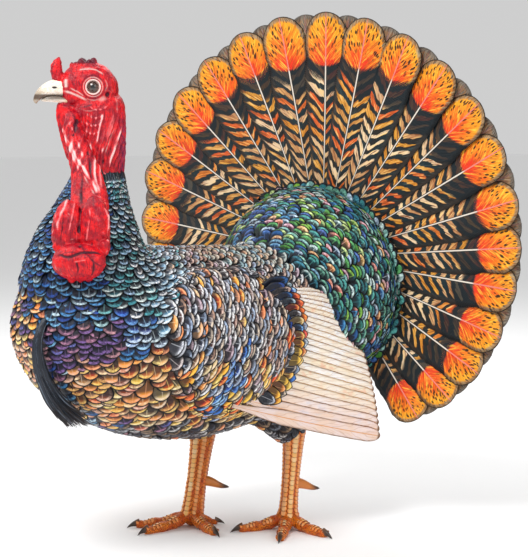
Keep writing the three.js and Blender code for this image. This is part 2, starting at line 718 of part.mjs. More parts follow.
// ---- Legs ----
function leg(name) {
  const { at, hock: hockAt, toes, hallux, spur: spurTurn, side } = FEET[name];
  const ankle = V(at[0], at[1], FLOOR + 22);
  const hock = V(hockAt[0], hockAt[1], HOCK_Z);
  const heading = (degrees) => V(Math.sin(rad(degrees)), -Math.cos(rad(degrees)), 0);
  const facing = heading(toes[1]);
  const thigh = sweep({
    stations: [
      { at: [side * 58, hock.y - 46, 300], half: [60, 84] },
      { at: [side * 66, hock.y - 36, 236], half: [54, 70] },
      { at: [hock.x - side * 4, hock.y - 14, 188], half: [40, 46] },
      { at: hock.clone().lerp(ankle, 0.18).toArray(), half: [21, 24] },
    ],
    rings: 9,
    sides: 14,
    caps: [0.1, 0.12],
  });
  const SCUTES = 8;
  const TOE_SIDES = 6;
  const across = new THREE.Vector3().crossVectors(UP, facing);
  const shankRings = [];
  const shankTop = hock.clone().lerp(ankle, -0.04);
  for (let r = 0; r <= SCUTES; r++) {
    for (const edge of [0, 0.8]) {
      const s = Math.min(1, (r + edge) / SCUTES);
      if (r === SCUTES && edge > 0) continue;
      const centre = shankTop.clone().lerp(ankle, s);
      const slim = 15 + 8 * Math.pow(1 - s, 2.4) + 4 * Math.pow(s, 4);
      const ring = [];
      for (let k = 0; k < 8; k++) {
        const angle = (2 * Math.PI * (k + 0.5)) / 8;
        const front = Math.max(0, Math.cos(angle));
        const raised = 1 + 0.12 * front * (edge > 0 ? 1 : 0);
        ring.push(
          centre
            .clone()
            .addScaledVector(facing, slim * 1.12 * raised * Math.cos(angle))
            .addScaledVector(across, slim * 0.9 * Math.sin(angle)),
        );
      }
      shankRings.push(ring);
    }
  }
  const shank = ringSkin(shankRings);

  // A toe as a row of plated joints that rests on the floor.
  const toe = (direction, from, length, thick, lift = 0) => {
    const rings = [];
    const cross = new THREE.Vector3().crossVectors(UP, direction);
    const steps = 3;
    for (let r = 0; r <= steps; r++) {
      for (const edge of [0, 0.7]) {
        const s = Math.min(1, (r + edge) / steps);
        if (r === steps && edge > 0) continue;
        const knuckle = 1 + 0.1 * Math.cos(6 * Math.PI * s);
        const fat = thick * (1 - 0.4 * s) * knuckle;
        const height = FLOOR + Math.max(0.7 * fat, 24 * (1 - Math.pow(s, 0.6)));
        const centre = from.clone().addScaledVector(direction, length * s).setZ(height + lift * (1 - s));
        const ring = [];
        for (let k = 0; k < TOE_SIDES; k++) {
          const angle = (2 * Math.PI * k) / TOE_SIDES;
          const raised = 1 + 0.1 * Math.max(0, Math.sin(angle)) * (edge > 0 ? 1 : 0);
          const p = centre
            .clone()
            .addScaledVector(cross, fat * Math.cos(angle))
            .addScaledVector(UP, fat * 0.9 * raised * Math.sin(angle));
          p.z = Math.max(FLOOR, p.z);
          ring.push(p);
        }
        rings.push(ring);
      }
    }
    return ringSkin(rings);
  };
  const ankleBall = ellipsoid(ankle.clone().setZ(FLOOR + 19), [20, 20, 19], undefined, 10, 7);
  const floorCut = new THREE.BoxGeometry(200, 200, 60).translate(ankle.x, ankle.y, FLOOR - 30);
  const toeBodies = toes.map((degrees, i) => toe(heading(degrees), ankle, TOE_LENGTHS[i], TOE_THICK));
  const halluxBody = toe(heading(hallux), ankle, HALLUX.length, HALLUX.thick, HALLUX.lift);
  const claw = (direction, start, size) => {
    const cross = new THREE.Vector3().crossVectors(UP, direction);
    const rings = [];
    for (let r = 0; r <= 3; r++) {
      const s = r / 3;
      const radius = Math.max(0.5, size * (1 - 0.9 * s));
      const centre = start.clone().addScaledVector(direction, size * 3.3 * s);
      centre.z = THREE.MathUtils.lerp(start.z, FLOOR + radius * 0.8, Math.pow(s, 1.4));
      const ring = [];
      for (let k = 0; k < 6; k++) {
        const angle = (2 * Math.PI * k) / 6;
        const p = centre
          .clone()
          .addScaledVector(cross, radius * 0.8 * Math.cos(angle))
          .addScaledVector(UP, radius * 1.1 * Math.sin(angle));
        p.z = Math.max(FLOOR, p.z);
        ring.push(p);
      }
      rings.push(ring);
    }
    return ringSkin(rings);
  };
  const clawAt = (degrees, reach, height, size) => {
    const start = ankle.clone().addScaledVector(heading(degrees), reach).setZ(FLOOR + height);
    return claw(heading(degrees), start, size);
  };
  const claws = toes.map((degrees, i) => clawAt(degrees, TOE_LENGTHS[i] - 6, 8, CLAW_SIZE));
  claws.push(clawAt(hallux, HALLUX.length - 4, 7, HALLUX.claw));
  const spurRoot = hock.clone().lerp(ankle, 0.62);
  const backward = heading(spurTurn);
  const spur = sweep({
    stations: [
      { at: spurRoot.toArray(), half: [10, 10] },
      { at: spurRoot.clone().addScaledVector(backward, 24).add(V(0, 0, -6)).toArray(), half: [8.5, 8.5] },
      { at: spurRoot.clone().addScaledVector(backward, 42).add(V(0, 0, -13)).toArray(), half: [5, 5] },
      { at: spurRoot.clone().addScaledVector(backward, 56).add(V(0, 0, -16)).toArray(), half: [1.4, 1.4] },
    ],
    rings: 6,
    sides: 6,
    caps: [0.02, 0.1],
    side: UP,
  });
  return { thigh, shank, ankleBall, floorCut, toeBodies, halluxBody, claws, spur };
}

// ---- Beard ----
// Long bristles in tapered locks that hang from the breast, fused where they are packed at the root.
const BEARD_PATH = [
  [33, -407, 412],
  [40, -438, 372],
  [39, -438, 324],
  [38, -418, 276],
  [42, -400, 250],
  [50, -379, 225],
];
const BEARD_LOCKS = 8;
const BEARD_SPREADS = [7, 14]; // how far the inner and the outer locks stand apart at their tips
const LOCK_HALF = 7; // half the width of a lock at its root
const beardLocks = [];
for (let i = 0; i < BEARD_LOCKS; i++) {
  const round = (2 * Math.PI * i) / BEARD_LOCKS;
  const spread = BEARD_SPREADS[i % 2];
  const reach = 0.86 + 0.14 * Math.sin(2.2 * i);
  const path = new THREE.CatmullRomCurve3(BEARD_PATH.map((p) => V(...p)));
  const stations = [0, 0.25, 0.5, 0.75, 1].map((s) => {
    const p = path.getPoint(s * reach);
    const away = spread * (0.4 + 0.6 * s);
    const back = 0.9 * s * (1 + Math.sin(round)); // the lower half widens towards the breast
    p.add(V(away * Math.cos(round), away * (0.9 * Math.sin(round) + back), 0));
    const size = LOCK_HALF * (1 - 0.62 * s * s);
    return { at: p.toArray(), half: [size, size * 0.8] };
  });
  beardLocks.push(sweep({ stations, rings: 6, sides: 4, caps: [0.04, 0.3] }));
}

// ---- Parts ----
const bird = new THREE.Group();
bird.name = "wild_turkey";
const paint = (color, roughness) => new THREE.MeshStandardMaterial({ color, roughness, metalness: 0 });
const PAINTS = {
  plumage: paint(0x3a3530, 0.6),
  rump: paint(0x1f5a5c, 0.45),
  tail: paint(0x9a5a22, 0.6),
  wing: paint(0x8d8378, 0.6),
  skin: paint(0xc01822, 0.5),
  bill: paint(0xd8cdb8, 0.4),
  eye: paint(0x1a120c, 0.1),
  leg: paint(0xd2691e, 0.5),
  claw: paint(0x3a2c22, 0.4),
  beard: paint(0x14161c, 0.7),
};
function add(name, geometry, material) {
  geometry.computeBoundingBox();
  const pivot = geometry.boundingBox.getCenter(V(0, 0, 0));
  const mesh = new THREE.Mesh(geometry.clone().translate(-pivot.x, -pivot.y, -pivot.z), PAINTS[material]);
  mesh.name = name;
  mesh.position.copy(pivot);
  bird.add(mesh);
  return geometry;
}

const torso = add("torso", trunk, "plumage");
const torsoCut = grown(torso);
add("neck_feathered", carve(feathered, torsoCut), "plumage");
const neckCut = grown(feathered);

const sockets = Object.values(eyeBalls).map((ball) => grown(ball));
const billCut = [grown(upperBill), grown(lowerBill)];
const headCuts = [sockets, billCut, earCup(1), earCup(-1), mouthLine(1), mouthLine(-1)];
add("head", fuse(carve(fuse(skull, crownKnobs), headCuts), lids(1), lids(-1)), "skin");
const headCut = grown(skull);
add("eye_left", eyeBalls.left, "eye");
add("eye_right", eyeBalls.right, "eye");
const snoodCut = grown(snood);
add("bill_upper", carve(upperBill, grown(lowerBill), snoodCut, nostril(1), nostril(-1)), "bill");
add("bill_lower", lowerBill, "bill");
add("snood", carve(snood, headCut), "skin");
const throat = fuse(bareNeck, throatFlap);
const wattleSolid = fuse(wattleStem, wattleLobes, wattleBulbs);
const wattle = add("wattle", carve(wattleSolid, headCut, neckCut, torsoCut, billCut), "skin");
add("neck_bare", carve(throat, headCut, neckCut, billCut, grown(wattle)), "skin");
add("beard", carve(fuse(beardLocks), torsoCut, neckCut), "beard");

const rump = add("rump", carve(fuse(carve(dome, halfSpace(DOME_BASE, -1)), coverts), torsoCut), "rump");
add("tail_fan", carve(fuse(hub, rectrices), torsoCut, halfSpace(DOME_BASE - GAP, 1)), "tail");
const underTail = fuse(carve(underTailBody, halfSpace(-UNDERTAIL.behind - GAP, 1)), underCoverts);
add("undertail", carve(underTail, torsoCut), "plumage");

const CLAW_NAMES = ["inner", "middle", "outer", "hind"];
const legs = { left: leg("left"), right: leg("right") };
const wings = { left: wing(1), right: wing(-1) };
const rumpCut = grown(rump);
for (const side of ["left", "right"]) {
  const made = legs[side];
  const thighCut = grown(made.thigh);
  add(`thigh_${side}`, carve(made.thigh, torsoCut), "plumage");
  add(`shank_${side}`, carve(made.shank, thighCut, torsoCut), "leg");
  const shankCut = grown(made.shank);
  const clawCuts = made.claws.map((claw) => grown(claw));
  const foot = fuse(made.ankleBall, made.toeBodies, made.halluxBody);
  add(`foot_${side}`, carve(foot, shankCut, clawCuts, made.floorCut), "leg");
  CLAW_NAMES.forEach((toe, i) => add(`claw_${toe}_${side}`, made.claws[i], "claw"));
  add(`spur_${side}`, carve(made.spur, shankCut), "claw");
  const { swelling, flight, greater } = wings[side];
  add(`wing_${side}`, carve(fuse(swelling, flight, greater), torsoCut, neckCut, thighCut, rumpCut), "wing");
}

// The origin is the middle of the bird's box, on the floor.
const box = new THREE.Box3().setFromObject(bird);
const middle = box.getCenter(V(0, 0, 0));
bird.position.set(-middle.x, -middle.y, -box.min.z);

export default bird;
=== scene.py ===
"""A strutting wild turkey cock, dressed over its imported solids: one skin, a coat of mesh feathers, and
the tail, wings, beard, legs, head and bill as detailed meshes. Shapes are worked out in millimetres in
the solids' own working frame (+Z up, the bird faces -Y, its left is +X) and moved into the row frame
when a mesh is made."""

import math

import bpy
import numpy as np
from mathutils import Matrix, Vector, kdtree
from mathutils.bvhtree import BVHTree


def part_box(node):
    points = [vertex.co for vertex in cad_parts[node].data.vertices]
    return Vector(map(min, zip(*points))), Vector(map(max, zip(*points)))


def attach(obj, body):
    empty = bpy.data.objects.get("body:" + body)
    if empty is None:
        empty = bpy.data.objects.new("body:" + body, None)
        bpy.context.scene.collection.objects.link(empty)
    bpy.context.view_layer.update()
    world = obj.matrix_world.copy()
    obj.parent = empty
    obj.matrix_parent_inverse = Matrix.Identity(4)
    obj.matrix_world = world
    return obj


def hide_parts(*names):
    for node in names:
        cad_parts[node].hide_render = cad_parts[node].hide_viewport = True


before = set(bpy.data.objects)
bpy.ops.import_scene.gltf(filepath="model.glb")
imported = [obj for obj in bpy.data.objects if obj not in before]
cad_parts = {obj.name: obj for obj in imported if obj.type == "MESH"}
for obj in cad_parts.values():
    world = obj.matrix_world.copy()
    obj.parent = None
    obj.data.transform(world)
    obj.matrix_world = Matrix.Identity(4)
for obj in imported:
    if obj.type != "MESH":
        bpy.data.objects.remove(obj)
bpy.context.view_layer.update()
MM = 0.001
BODY = "root"
rng = np.random.default_rng(11)


# ---- Named sizes, shared with the solids ----
def vec(*numbers):
    return np.array(numbers, float)


UP = vec(0, 0, 1)


def turned(angle):
    """Turns about the vertical."""
    c, s = math.cos(angle), math.sin(angle)
    return np.array([[c, -s, 0], [s, c, 0], [0, 0, 1]])


HEAD_AT = vec(-5, -312, 751)
HEAD_YAW = math.radians(-22)
EYE = vec(17.1, 5, 1)  # left, back and up from the middle of the skull
EYE_RADIUS = 10.6
HEAD_TURN = turned(HEAD_YAW)


def box_middle(node):
    low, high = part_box(node)
    return np.array((low + high) / 2) / MM


# The solids were moved onto the floor by this much; the left eye's box tells it.
MOVED = box_middle("eye_left") - (HEAD_AT + HEAD_TURN @ EYE)

FLOOR = 8
BREAST_Y, RUMP_Y = -436, 176
TRUNK_Z = 335
TRUNK_AXIS = [(0, 66), (0.16, 42), (0.34, 12), (0.52, -1), (0.7, 8), (0.86, 30), (1, 60)]
NECK_TOP_Z = 640

TAIL_ROOT = vec(4, 176, 461)
TAIL_YAW, TAIL_LEAN, TAIL_ROLL = (math.radians(d) for d in (18, -2, 20))
FAN_HALF_SPREAD = math.radians(124)
FAN_RADIUS = 386
FAN_RISE = 42
DOME_RADIUS, DOME_DEPTH, DOME_BASE = 180, 150, 17
DOME_LEFT, DOME_UP = 6, -48
UNDERTAIL_HALF = (128, 152, 68)
UNDERTAIL_DOWN, UNDERTAIL_BEHIND = 60, 14

WING_U, WING_ANGLE = 0.5, math.radians(4)
WING_HALF_U, WING_HALF_ANGLE = 0.24, math.radians(50)
WING_THICK, WING_EDGE, WING_SUNK = 27, 8, 8

COAT = 6.5  # how far the skin lies inside the solids where feathers cover it
OVERLAP = 2  # parts are grown by this before they are fused


# ---- Small mathematics ----
def unit(v):
    v = np.asarray(v, float)
    return v / np.maximum(np.linalg.norm(v, axis=-1, keepdims=True), 1e-9)


def smooth(a, b, x):
    t = np.clip((np.asarray(x, float) - a) / (b - a), 0, 1)
    return t * t * (3 - 2 * t)


def bell(x, width, middle=0):
    """1 in the middle, falling to nearly 0 at twice the width from it."""
    return np.exp(-(((x - middle) / width) ** 2))


def mix(a, b, t):
    return a + (np.asarray(b) - a) * t


def spline(knots, at):
    """A smooth curve through evenly spaced knots, at shares 0 to 1 of its length."""
    knots = np.asarray(knots, float)
    padded = np.vstack([2 * knots[0] - knots[1], knots, 2 * knots[-1] - knots[-2]])
    x = np.clip(np.asarray(at, float), 0, 1) * (len(knots) - 1)
    i = np.minimum(x.astype(int), len(knots) - 2)
    t = (x - i)[:, None]
    p0, p1, p2, p3 = (padded[i + k] for k in range(4))
    bend = 2 * p0 - 5 * p1 + 4 * p2 - p3
    return 0.5 * (2 * p1 + (p2 - p0) * t + bend * t**2 + (3 * (p1 - p2) + p3 - p0) * t**3)


def lattice(cells, seed):
    """A random number from 0 to 1 for each whole cell."""
    low32, low24 = np.uint64(0xFFFFFFFF), np.uint64(0xFFFFFF)
    h = np.full(len(cells), seed * 2654435761 % 4294967296, np.uint64)
    for axis, prime in enumerate((73856093, 19349663, 83492791)):
        h = (h ^ (cells[:, axis].astype(np.int64).astype(np.uint64) * np.uint64(prime))) & low32
        h = (h * np.uint64(1597334677)) & low32
        h ^= h >> np.uint64(15)
    return (h & low24).astype(float) / float(low24)


def noise(points, scale, seed=1):
    """Smooth noise from -1 to 1 whose lumps are `scale` across."""
    p = np.asarray(points, float) / scale
    cell = np.floor(p).astype(np.int64)
    f = p - cell
    f = f * f * (3 - 2 * f)
    total = np.zeros(len(p))
    for corner in range(8):
        step = np.array([corner & 1, corner >> 1 & 1, corner >> 2 & 1])
        weight = np.prod(np.where(step == 1, f, 1 - f), axis=1)
        total += weight * lattice(cell + step, seed)
    return 2 * total - 1


def hexed(text):
    """A colour from #rrggbb, as scene-linear numbers."""
    c = np.array([int(text[i : i + 2], 16) for i in (1, 3, 5)]) / 255
    return np.where(c <= 0.04045, c / 12.92, ((c + 0.055) / 1.055) ** 2.4)


def colours(*texts):
    return np.array([hexed(t) for t in texts])


# ---- Meshes ----
def placed(name, data):
    obj = bpy.data.objects.new(name, data)
    bpy.context.scene.collection.objects.link(obj)
    return obj


COLOURS_CARRIED = ("tint", "rim")


def give(mesh, key, values):
    """Writes an attribute of the mesh's points: a number, a colour if its name says so, or a vector."""
    values = np.asarray(values, float)
    kind, field = "FLOAT_VECTOR", "vector"
    if values.ndim == 1:
        kind, field = "FLOAT", "value"
    elif key in COLOURS_CARRIED:
        kind, field = "FLOAT_COLOR", "color"
        values = np.hstack([values, np.ones((len(values), 1))])
    mesh.attributes.new(key, kind, "POINT").data.foreach_set(field, values.ravel())


def build(name, points, polygons, attributes=None, uv=None):
    """A mesh object from points in millimetres and arrays of polygons, each of one size of polygon."""
    mesh = bpy.data.meshes.new(name)
    points = (np.asarray(points, float) + MOVED) * MM
    loops = np.concatenate([np.asarray(p).ravel() for p in polygons])
    sizes = np.concatenate([np.full(len(p), np.asarray(p).shape[1]) for p in polygons])
    mesh.vertices.add(len(points))
    mesh.vertices.foreach_set("co", points.ravel())
    mesh.loops.add(len(loops))
    mesh.loops.foreach_set("vertex_index", loops.astype(np.int32))
    mesh.polygons.add(len(sizes))
    starts = np.concatenate([[0], np.cumsum(sizes)[:-1]])
    mesh.polygons.foreach_set("loop_start", starts.astype(np.int32))
    mesh.update(calc_edges=True)
    mesh.polygons.foreach_set("use_smooth", np.ones(len(sizes), bool))
    for key, values in (attributes or {}).items():
        give(mesh, key, values)
    if uv is not None:
        layer = mesh.uv_layers.new(name="OFBake")
        layer.data.foreach_set("uv", np.asarray(uv, float)[loops].ravel())
    return placed(name, mesh)


def read(mesh):
    """A mesh's points in millimetres in the working frame."""
    co = np.empty(len(mesh.vertices) * 3)
    mesh.vertices.foreach_get("co", co)
    return co.reshape(-1, 3) / MM - MOVED


def write(mesh, points):
    mesh.vertices.foreach_set("co", ((points + MOVED) * MM).ravel())
    mesh.update()


def normals_of(mesh):
    n = np.empty(len(mesh.vertices) * 3)
    mesh.vertex_normals.foreach_get("vector", n)
    return n.reshape(-1, 3)


def edges_of(mesh):
    e = np.empty(len(mesh.edges) * 2, np.int32)
    mesh.edges.foreach_get("vertices", e)
    return e.reshape(-1, 2)


def relaxed(points, edges, turns, amount=0.5):
    """Each point drawn towards the middle of its neighbours, a few times over."""
    count = np.bincount(edges.ravel(), minlength=len(points)).astype(float)[:, None]
    for _ in range(turns):
        total = np.zeros_like(points)
        for axis in range(points.shape[1]):
            total[:, axis] = np.bincount(edges[:, 0], points[edges[:, 1], axis], len(points))
            total[:, axis] += np.bincount(edges[:, 1], points[edges[:, 0], axis], len(points))
        points = mix(points, total / np.maximum(count, 1), amount)
    return points


def evaluated(obj):
    """The object's mesh with its modifiers applied, in place of its own."""
    graph = bpy.context.evaluated_depsgraph_get()
    mesh = bpy.data.meshes.new_from_object(obj.evaluated_get(graph))
    obj.modifiers.clear()
    old, obj.data = obj.data, mesh
    bpy.data.meshes.remove(old)
    return obj


def joined(name, parts):
    """One object from several (points, polygons) shells."""
    points, polygons, first = [], {}, 0
    for part_points, part_polygons in parts:
        points.append(part_points)
        for p in part_polygons:
            p = np.asarray(p)
            polygons.setdefault(p.shape[1], []).append(p + first)
        first += len(part_points)
    return build(name, np.vstack(points), [np.vstack(p) for p in polygons.values()])


def fused(name, parts, voxel, turns):
    """Closed shells fused into one surface of small faces, and smoothed."""
    obj = joined(name, parts)
    remesh = obj.modifiers.new("fuse", "REMESH")
    remesh.mode = "VOXEL"
    remesh.voxel_size = voxel * MM
    evaluated(obj)
    write(obj.data, relaxed(read(obj.data), edges_of(obj.data), turns))
    return obj


def remove(obj):
    mesh = obj.data
    bpy.data.objects.remove(obj)
    bpy.data.meshes.remove(mesh)


def ring_quads(rows, n, round_again=False):
    """Quads between neighbouring rings of n points, and from the last ring to the first if asked."""
    r, k = np.meshgrid(np.arange(rows if round_again else rows - 1), np.arange(n), indexing="ij")
    here, there, turn = r * n, (r + 1) % rows * n, (k + 1) % n
    return np.stack([here + k, here + turn, there + turn, there + k], -1).reshape(-1, 4)


def grid_shell(rings):
    """A closed shell over an array of rings (rows, columns, 3), with a cap on each end."""
    rings = np.asarray(rings, float)
    rows, n = rings.shape[:2]
    points = np.vstack([rings.reshape(-1, 3), rings[0].mean(0), rings[-1].mean(0)])
    first = rows * n
    around = np.arange(n)
    after = (around + 1) % n
    start = np.stack([np.full(n, first), after, around], 1)
    end = np.stack([np.full(n, first + 1), around + first - n, after + first - n], 1)
    return turned_out(points, [ring_quads(rows, n), np.vstack([start, end])])


def turned_out(points, polygons):
    """Flips a closed shell whose faces point in."""
    volume = 0.0
    for p in polygons:
        for k in range(1, p.shape[1] - 1):
            a, b, c = points[p[:, 0]], points[p[:, k]], points[p[:, k + 1]]
            volume += np.einsum("ij,ij->", a, np.cross(b, c))
    return points, ([p[:, ::-1] for p in polygons] if volume < 0 else list(polygons))


def round_end(s):
    return (1 - (1 - np.minimum(1, s)) ** 2) ** 0.5


def sweep(stations, rings=40, sides=32, caps=(0.1, 0.1), side=(1, 0, 0), shape=None):
    """A body swept along stations of (middle, half width, half height), its width kept along `side`."""
    middles, halves = zip(*stations)
    t = np.linspace(0, 1, rings)
    u = (t + (1 - np.cos(np.pi * t)) / 2) / 2
    centre = spline(middles, u)
    half = spline(halves, u)
    ahead = unit(spline(middles, u + 0.002) - spline(middles, u - 0.002))
    high = unit(np.cross(np.asarray(side, float), ahead))
    wide = unit(np.cross(ahead, high))
    scale = round_end(u / caps[0]) * round_end((1 - u) / caps[1])
    angle = 2 * np.pi * (np.arange(sides) + 0.5) / sides
    factor = np.maximum(scale, 0.02)[:, None] * (shape(u[:, None]) if shape else 1)
    x = half[:, :1] * factor * np.cos(angle)
    y = half[:, 1:2] * factor * np.sin(angle)
    return grid_shell(centre[:, None] + wide[:, None] * x[..., None] + high[:, None] * y[..., None])


def ball(middle, half, turn=np.eye(3), sides=32, rows=20):
    """An ellipsoid; a list of half sizes may give two for its third axis, in front and behind."""
    polar = np.pi * (np.arange(rows) + 0.5) / rows
    angle = 2 * np.pi * np.arange(sides) / sides
    level = np.sin(polar)[:, None]
    ring = [level * np.cos(angle), level * np.sin(angle), np.cos(polar)[:, None] * np.ones(sides)]
    ring = np.stack(ring, -1)
    back = half[3] if len(half) > 3 else half[2]
    third = np.where(ring[..., 2] > 0, half[2], back)
    ring = np.stack([ring[..., 0] * half[0], ring[..., 1] * half[1], ring[..., 2] * third], -1)
    return grid_shell(np.asarray(middle) + ring @ np.asarray(turn).T)


# ---- Frames of the head, the fan and the trunk ----
def head_point(left, ahead, up):
    return HEAD_AT + np.stack(np.broadcast_arrays(left, -np.asarray(ahead, float), up), -1) @ HEAD_TURN.T


def head_stations(*stations):
    """Stations (ahead, up, half width, half height) on the middle of the head."""
    return [(head_point(0, ahead, up), (wide, high)) for ahead, up, wide, high in stations]


HEAD_SIDE = HEAD_TURN @ vec(1, 0, 0)
AHEAD = vec(math.sin(TAIL_YAW), -math.cos(TAIL_YAW), 0)
FAN_FACE = unit(AHEAD * math.cos(TAIL_LEAN) + vec(0, 0, math.sin(TAIL_LEAN)))
LEVEL = vec(math.cos(TAIL_YAW), math.sin(TAIL_YAW), 0)
RISE = np.cross(FAN_FACE, LEVEL)
FAN_UP = RISE * math.cos(TAIL_ROLL) + LEVEL * math.sin(TAIL_ROLL)
FAN_LEFT = LEVEL * math.cos(TAIL_ROLL) - RISE * math.sin(TAIL_ROLL)
FAN_TURN = np.stack([FAN_LEFT, FAN_UP, FAN_FACE], 1)


def on_fan(left, up, out):
    """A point given in the fan: from its root, to its left, along its middle and out of its front."""
    return TAIL_ROOT + np.stack(np.broadcast_arrays(left, up, out), -1) @ FAN_TURN.T


def in_fan(points):
    return (points - TAIL_ROOT) @ FAN_TURN


def spoke(angle):
    angle = np.asarray(angle, float)[..., None]
    return FAN_UP * np.cos(angle) + FAN_LEFT * np.sin(angle)


def spoke_length(angle, radius):
    off = angle + TAIL_ROLL
    whole = FAN_RISE * np.cos(off) + np.sqrt(radius**2 - (FAN_RISE * np.sin(off)) ** 2)
    return whole * (1 - 0.05 * (np.abs(angle) / FAN_HALF_SPREAD) ** 8)


def axis_height(u):
    return TRUNK_Z + np.interp(u, *zip(*TRUNK_AXIS))


def along_trunk(points):
    """How far along the trunk a point is, and its angle up from the trunk's side."""
    u = (points[:, 1] - BREAST_Y) / (RUMP_Y - BREAST_Y)
    return u, np.arctan2(points[:, 2] - axis_height(u), np.abs(points[:, 0]))


def tree_of(obj):
    mesh = obj.data
    return BVHTree.FromPolygons([v.co for v in mesh.vertices], [p.vertices for p in mesh.polygons])


def struck(tree, start, way):
    """Where a ray first meets a surface, or None."""
    hit = tree.ray_cast(Vector((start + MOVED) * MM), Vector(way))[0]
    return None if hit is None else np.array(hit) / MM - MOVED


def point_tree(points):
    tree = kdtree.KDTree(len(points))
    for i, p in enumerate(points):
        tree.insert(p, i)
    tree.balance()
    return tree


torso_tree = tree_of(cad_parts["torso"])


def on_wing(side, r, turn, out):
    """A point on a wing's swelling: r from its middle to its edge, `turn` round from the rear."""
    u = WING_U + WING_HALF_U * r * math.cos(turn)
    angle = WING_ANGLE + WING_HALF_ANGLE * r * math.sin(turn)
    middle = vec(0, BREAST_Y + u * (RUMP_Y - BREAST_Y), float(axis_height(u)))
    way = vec(side * math.cos(angle), 0, math.sin(angle))
    return struck(torso_tree, middle, way) + way * out


def wing_rise(r):
    return WING_EDGE + (WING_THICK - WING_EDGE) * math.sqrt(max(0, 1 - r * r))


# ---- Camera: at the height and side that the view asks for ----
VIEW_AZIMUTH, VIEW_ELEVATION = math.radians(50), math.radians(5)
VIEW_TARGET = vec(0, 47, 430)
VIEW_DISTANCE = 3000
VIEW_SCALE = 1.72  # millimetres to a pixel at the target
PICTURE = (528, 557)
SENSOR = 36


def outward_at(azimuth, elevation):
    """The way out from the middle, in radians round from the front and up."""
    level = math.cos(elevation)
    return vec(math.sin(azimuth) * level, -math.cos(azimuth) * level, math.sin(elevation))


VIEW_BACK = outward_at(VIEW_AZIMUTH, VIEW_ELEVATION)
VIEW_RIGHT = vec(math.cos(VIEW_AZIMUTH), math.sin(VIEW_AZIMUTH), 0)
VIEW_UP = np.cross(VIEW_BACK, VIEW_RIGHT)
VIEW_FROM = VIEW_TARGET + VIEW_BACK * VIEW_DISTANCE
CAMERA_CLIP = (0.05, 60)


def aimed(name, data, at, back):
    """A camera or lamp at a place in metres, looking away from `back`."""
    obj = placed(name, data)
    obj.location = at
    obj.rotation_mode = "QUATERNION"
    obj.rotation_quaternion = Vector(-back).to_track_quat("-Z", "Y")
    return obj


def make_camera():
    data = bpy.data.cameras.new("camera")
    data.sensor_width = SENSOR
    data.lens = SENSOR * VIEW_DISTANCE / VIEW_SCALE / max(PICTURE)
    data.clip_start, data.clip_end = CAMERA_CLIP
    bpy.context.scene.camera = aimed("camera", data, (VIEW_FROM + MOVED) * MM, VIEW_BACK)


def seen_at(pixel, tree):
    """The first point of a surface behind a pixel of the picture, or None."""
    focal = VIEW_DISTANCE / VIEW_SCALE
    right, down = pixel[0] - PICTURE[0] / 2, pixel[1] - PICTURE[1] / 2
    way = unit(VIEW_RIGHT * right / focal - VIEW_UP * down / focal - VIEW_BACK)
    return struck(tree, VIEW_FROM, way)


# ---- The skin: body ----
def cad_shell(node):
    """A node's own surface, grown a little."""
    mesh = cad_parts[node].data
    points = read(mesh)
    welded, inverse = np.unique(np.round(points, 3), axis=0, return_inverse=True)
    inverse = inverse.ravel()
    faces = np.array([[inverse[v] for v in p.vertices] for p in mesh.polygons if len(p.vertices) == 3])
    faces = faces[np.array([len(set(face)) == 3 for face in faces.tolist()])]
    a, b, c = (welded[faces[:, k]] for k in range(3))
    face_normal = np.cross(b - a, c - a)
    normal = np.zeros_like(welded)
    for k in range(3):
        np.add.at(normal, faces[:, k], face_normal)
    return welded + unit(normal) * OVERLAP, [faces]


def wing_shell(side):
    """The low swelling of a folded wing on the trunk's side."""
    turns = np.linspace(0, 2 * math.pi, 36, endpoint=False)
    levels = [(0.35, -WING_SUNK), (1, -WING_SUNK), (1, WING_EDGE)]
    levels += [(r, wing_rise(r)) for r in (0.9, 0.75, 0.55, 0.35, 0.15)]
    rings = [[on_wing(side, r, turn, out + OVERLAP) for turn in turns] for r, out in levels]
    return grid_shell(np.array(rings))


HUB_DOWN, HUB_HALF = 62, (112, 146, 14)  # the flat middle of the fan's root
DOME_BACK, UNDERTAIL_FRONT = 16, 14
DOME_AT = vec(DOME_LEFT, DOME_UP, DOME_BASE)
UNDERTAIL_AT = vec(0, -UNDERTAIL_DOWN, -UNDERTAIL_BEHIND)


def rump_shells():
    """The raised rump before the fan and the soft mass behind it, both closed on the fan's plane."""
    wide, high, deep = UNDERTAIL_HALF
    dome = ball(on_fan(*DOME_AT), (DOME_RADIUS, DOME_RADIUS, DOME_DEPTH, DOME_BACK), FAN_TURN, 64, 40)
    hub = ball(on_fan(0, -HUB_DOWN, 0), HUB_HALF, FAN_TURN, 48, 24)
    behind = ball(on_fan(*UNDERTAIL_AT), (wide, high, UNDERTAIL_FRONT, deep), FAN_TURN, 64, 40)
    return [dome, hub, behind]


BODY_VOXEL, BODY_TURNS = 5.5, 6
BODY_NODES = ("torso", "neck_feathered", "thigh_left", "thigh_right")
body_shells = [cad_shell(n) for n in BODY_NODES] + [wing_shell(1), wing_shell(-1)] + rump_shells()
body = fused("skin", body_shells, BODY_VOXEL, BODY_TURNS)
write(body.data, read(body.data) - normals_of(body.data) * (COAT + OVERLAP))

# ---- The skin: head, bare neck and wattle ----
FINE_VOXEL, HEAD_TURNS, LEG_TURNS = 1.35, 5, 4
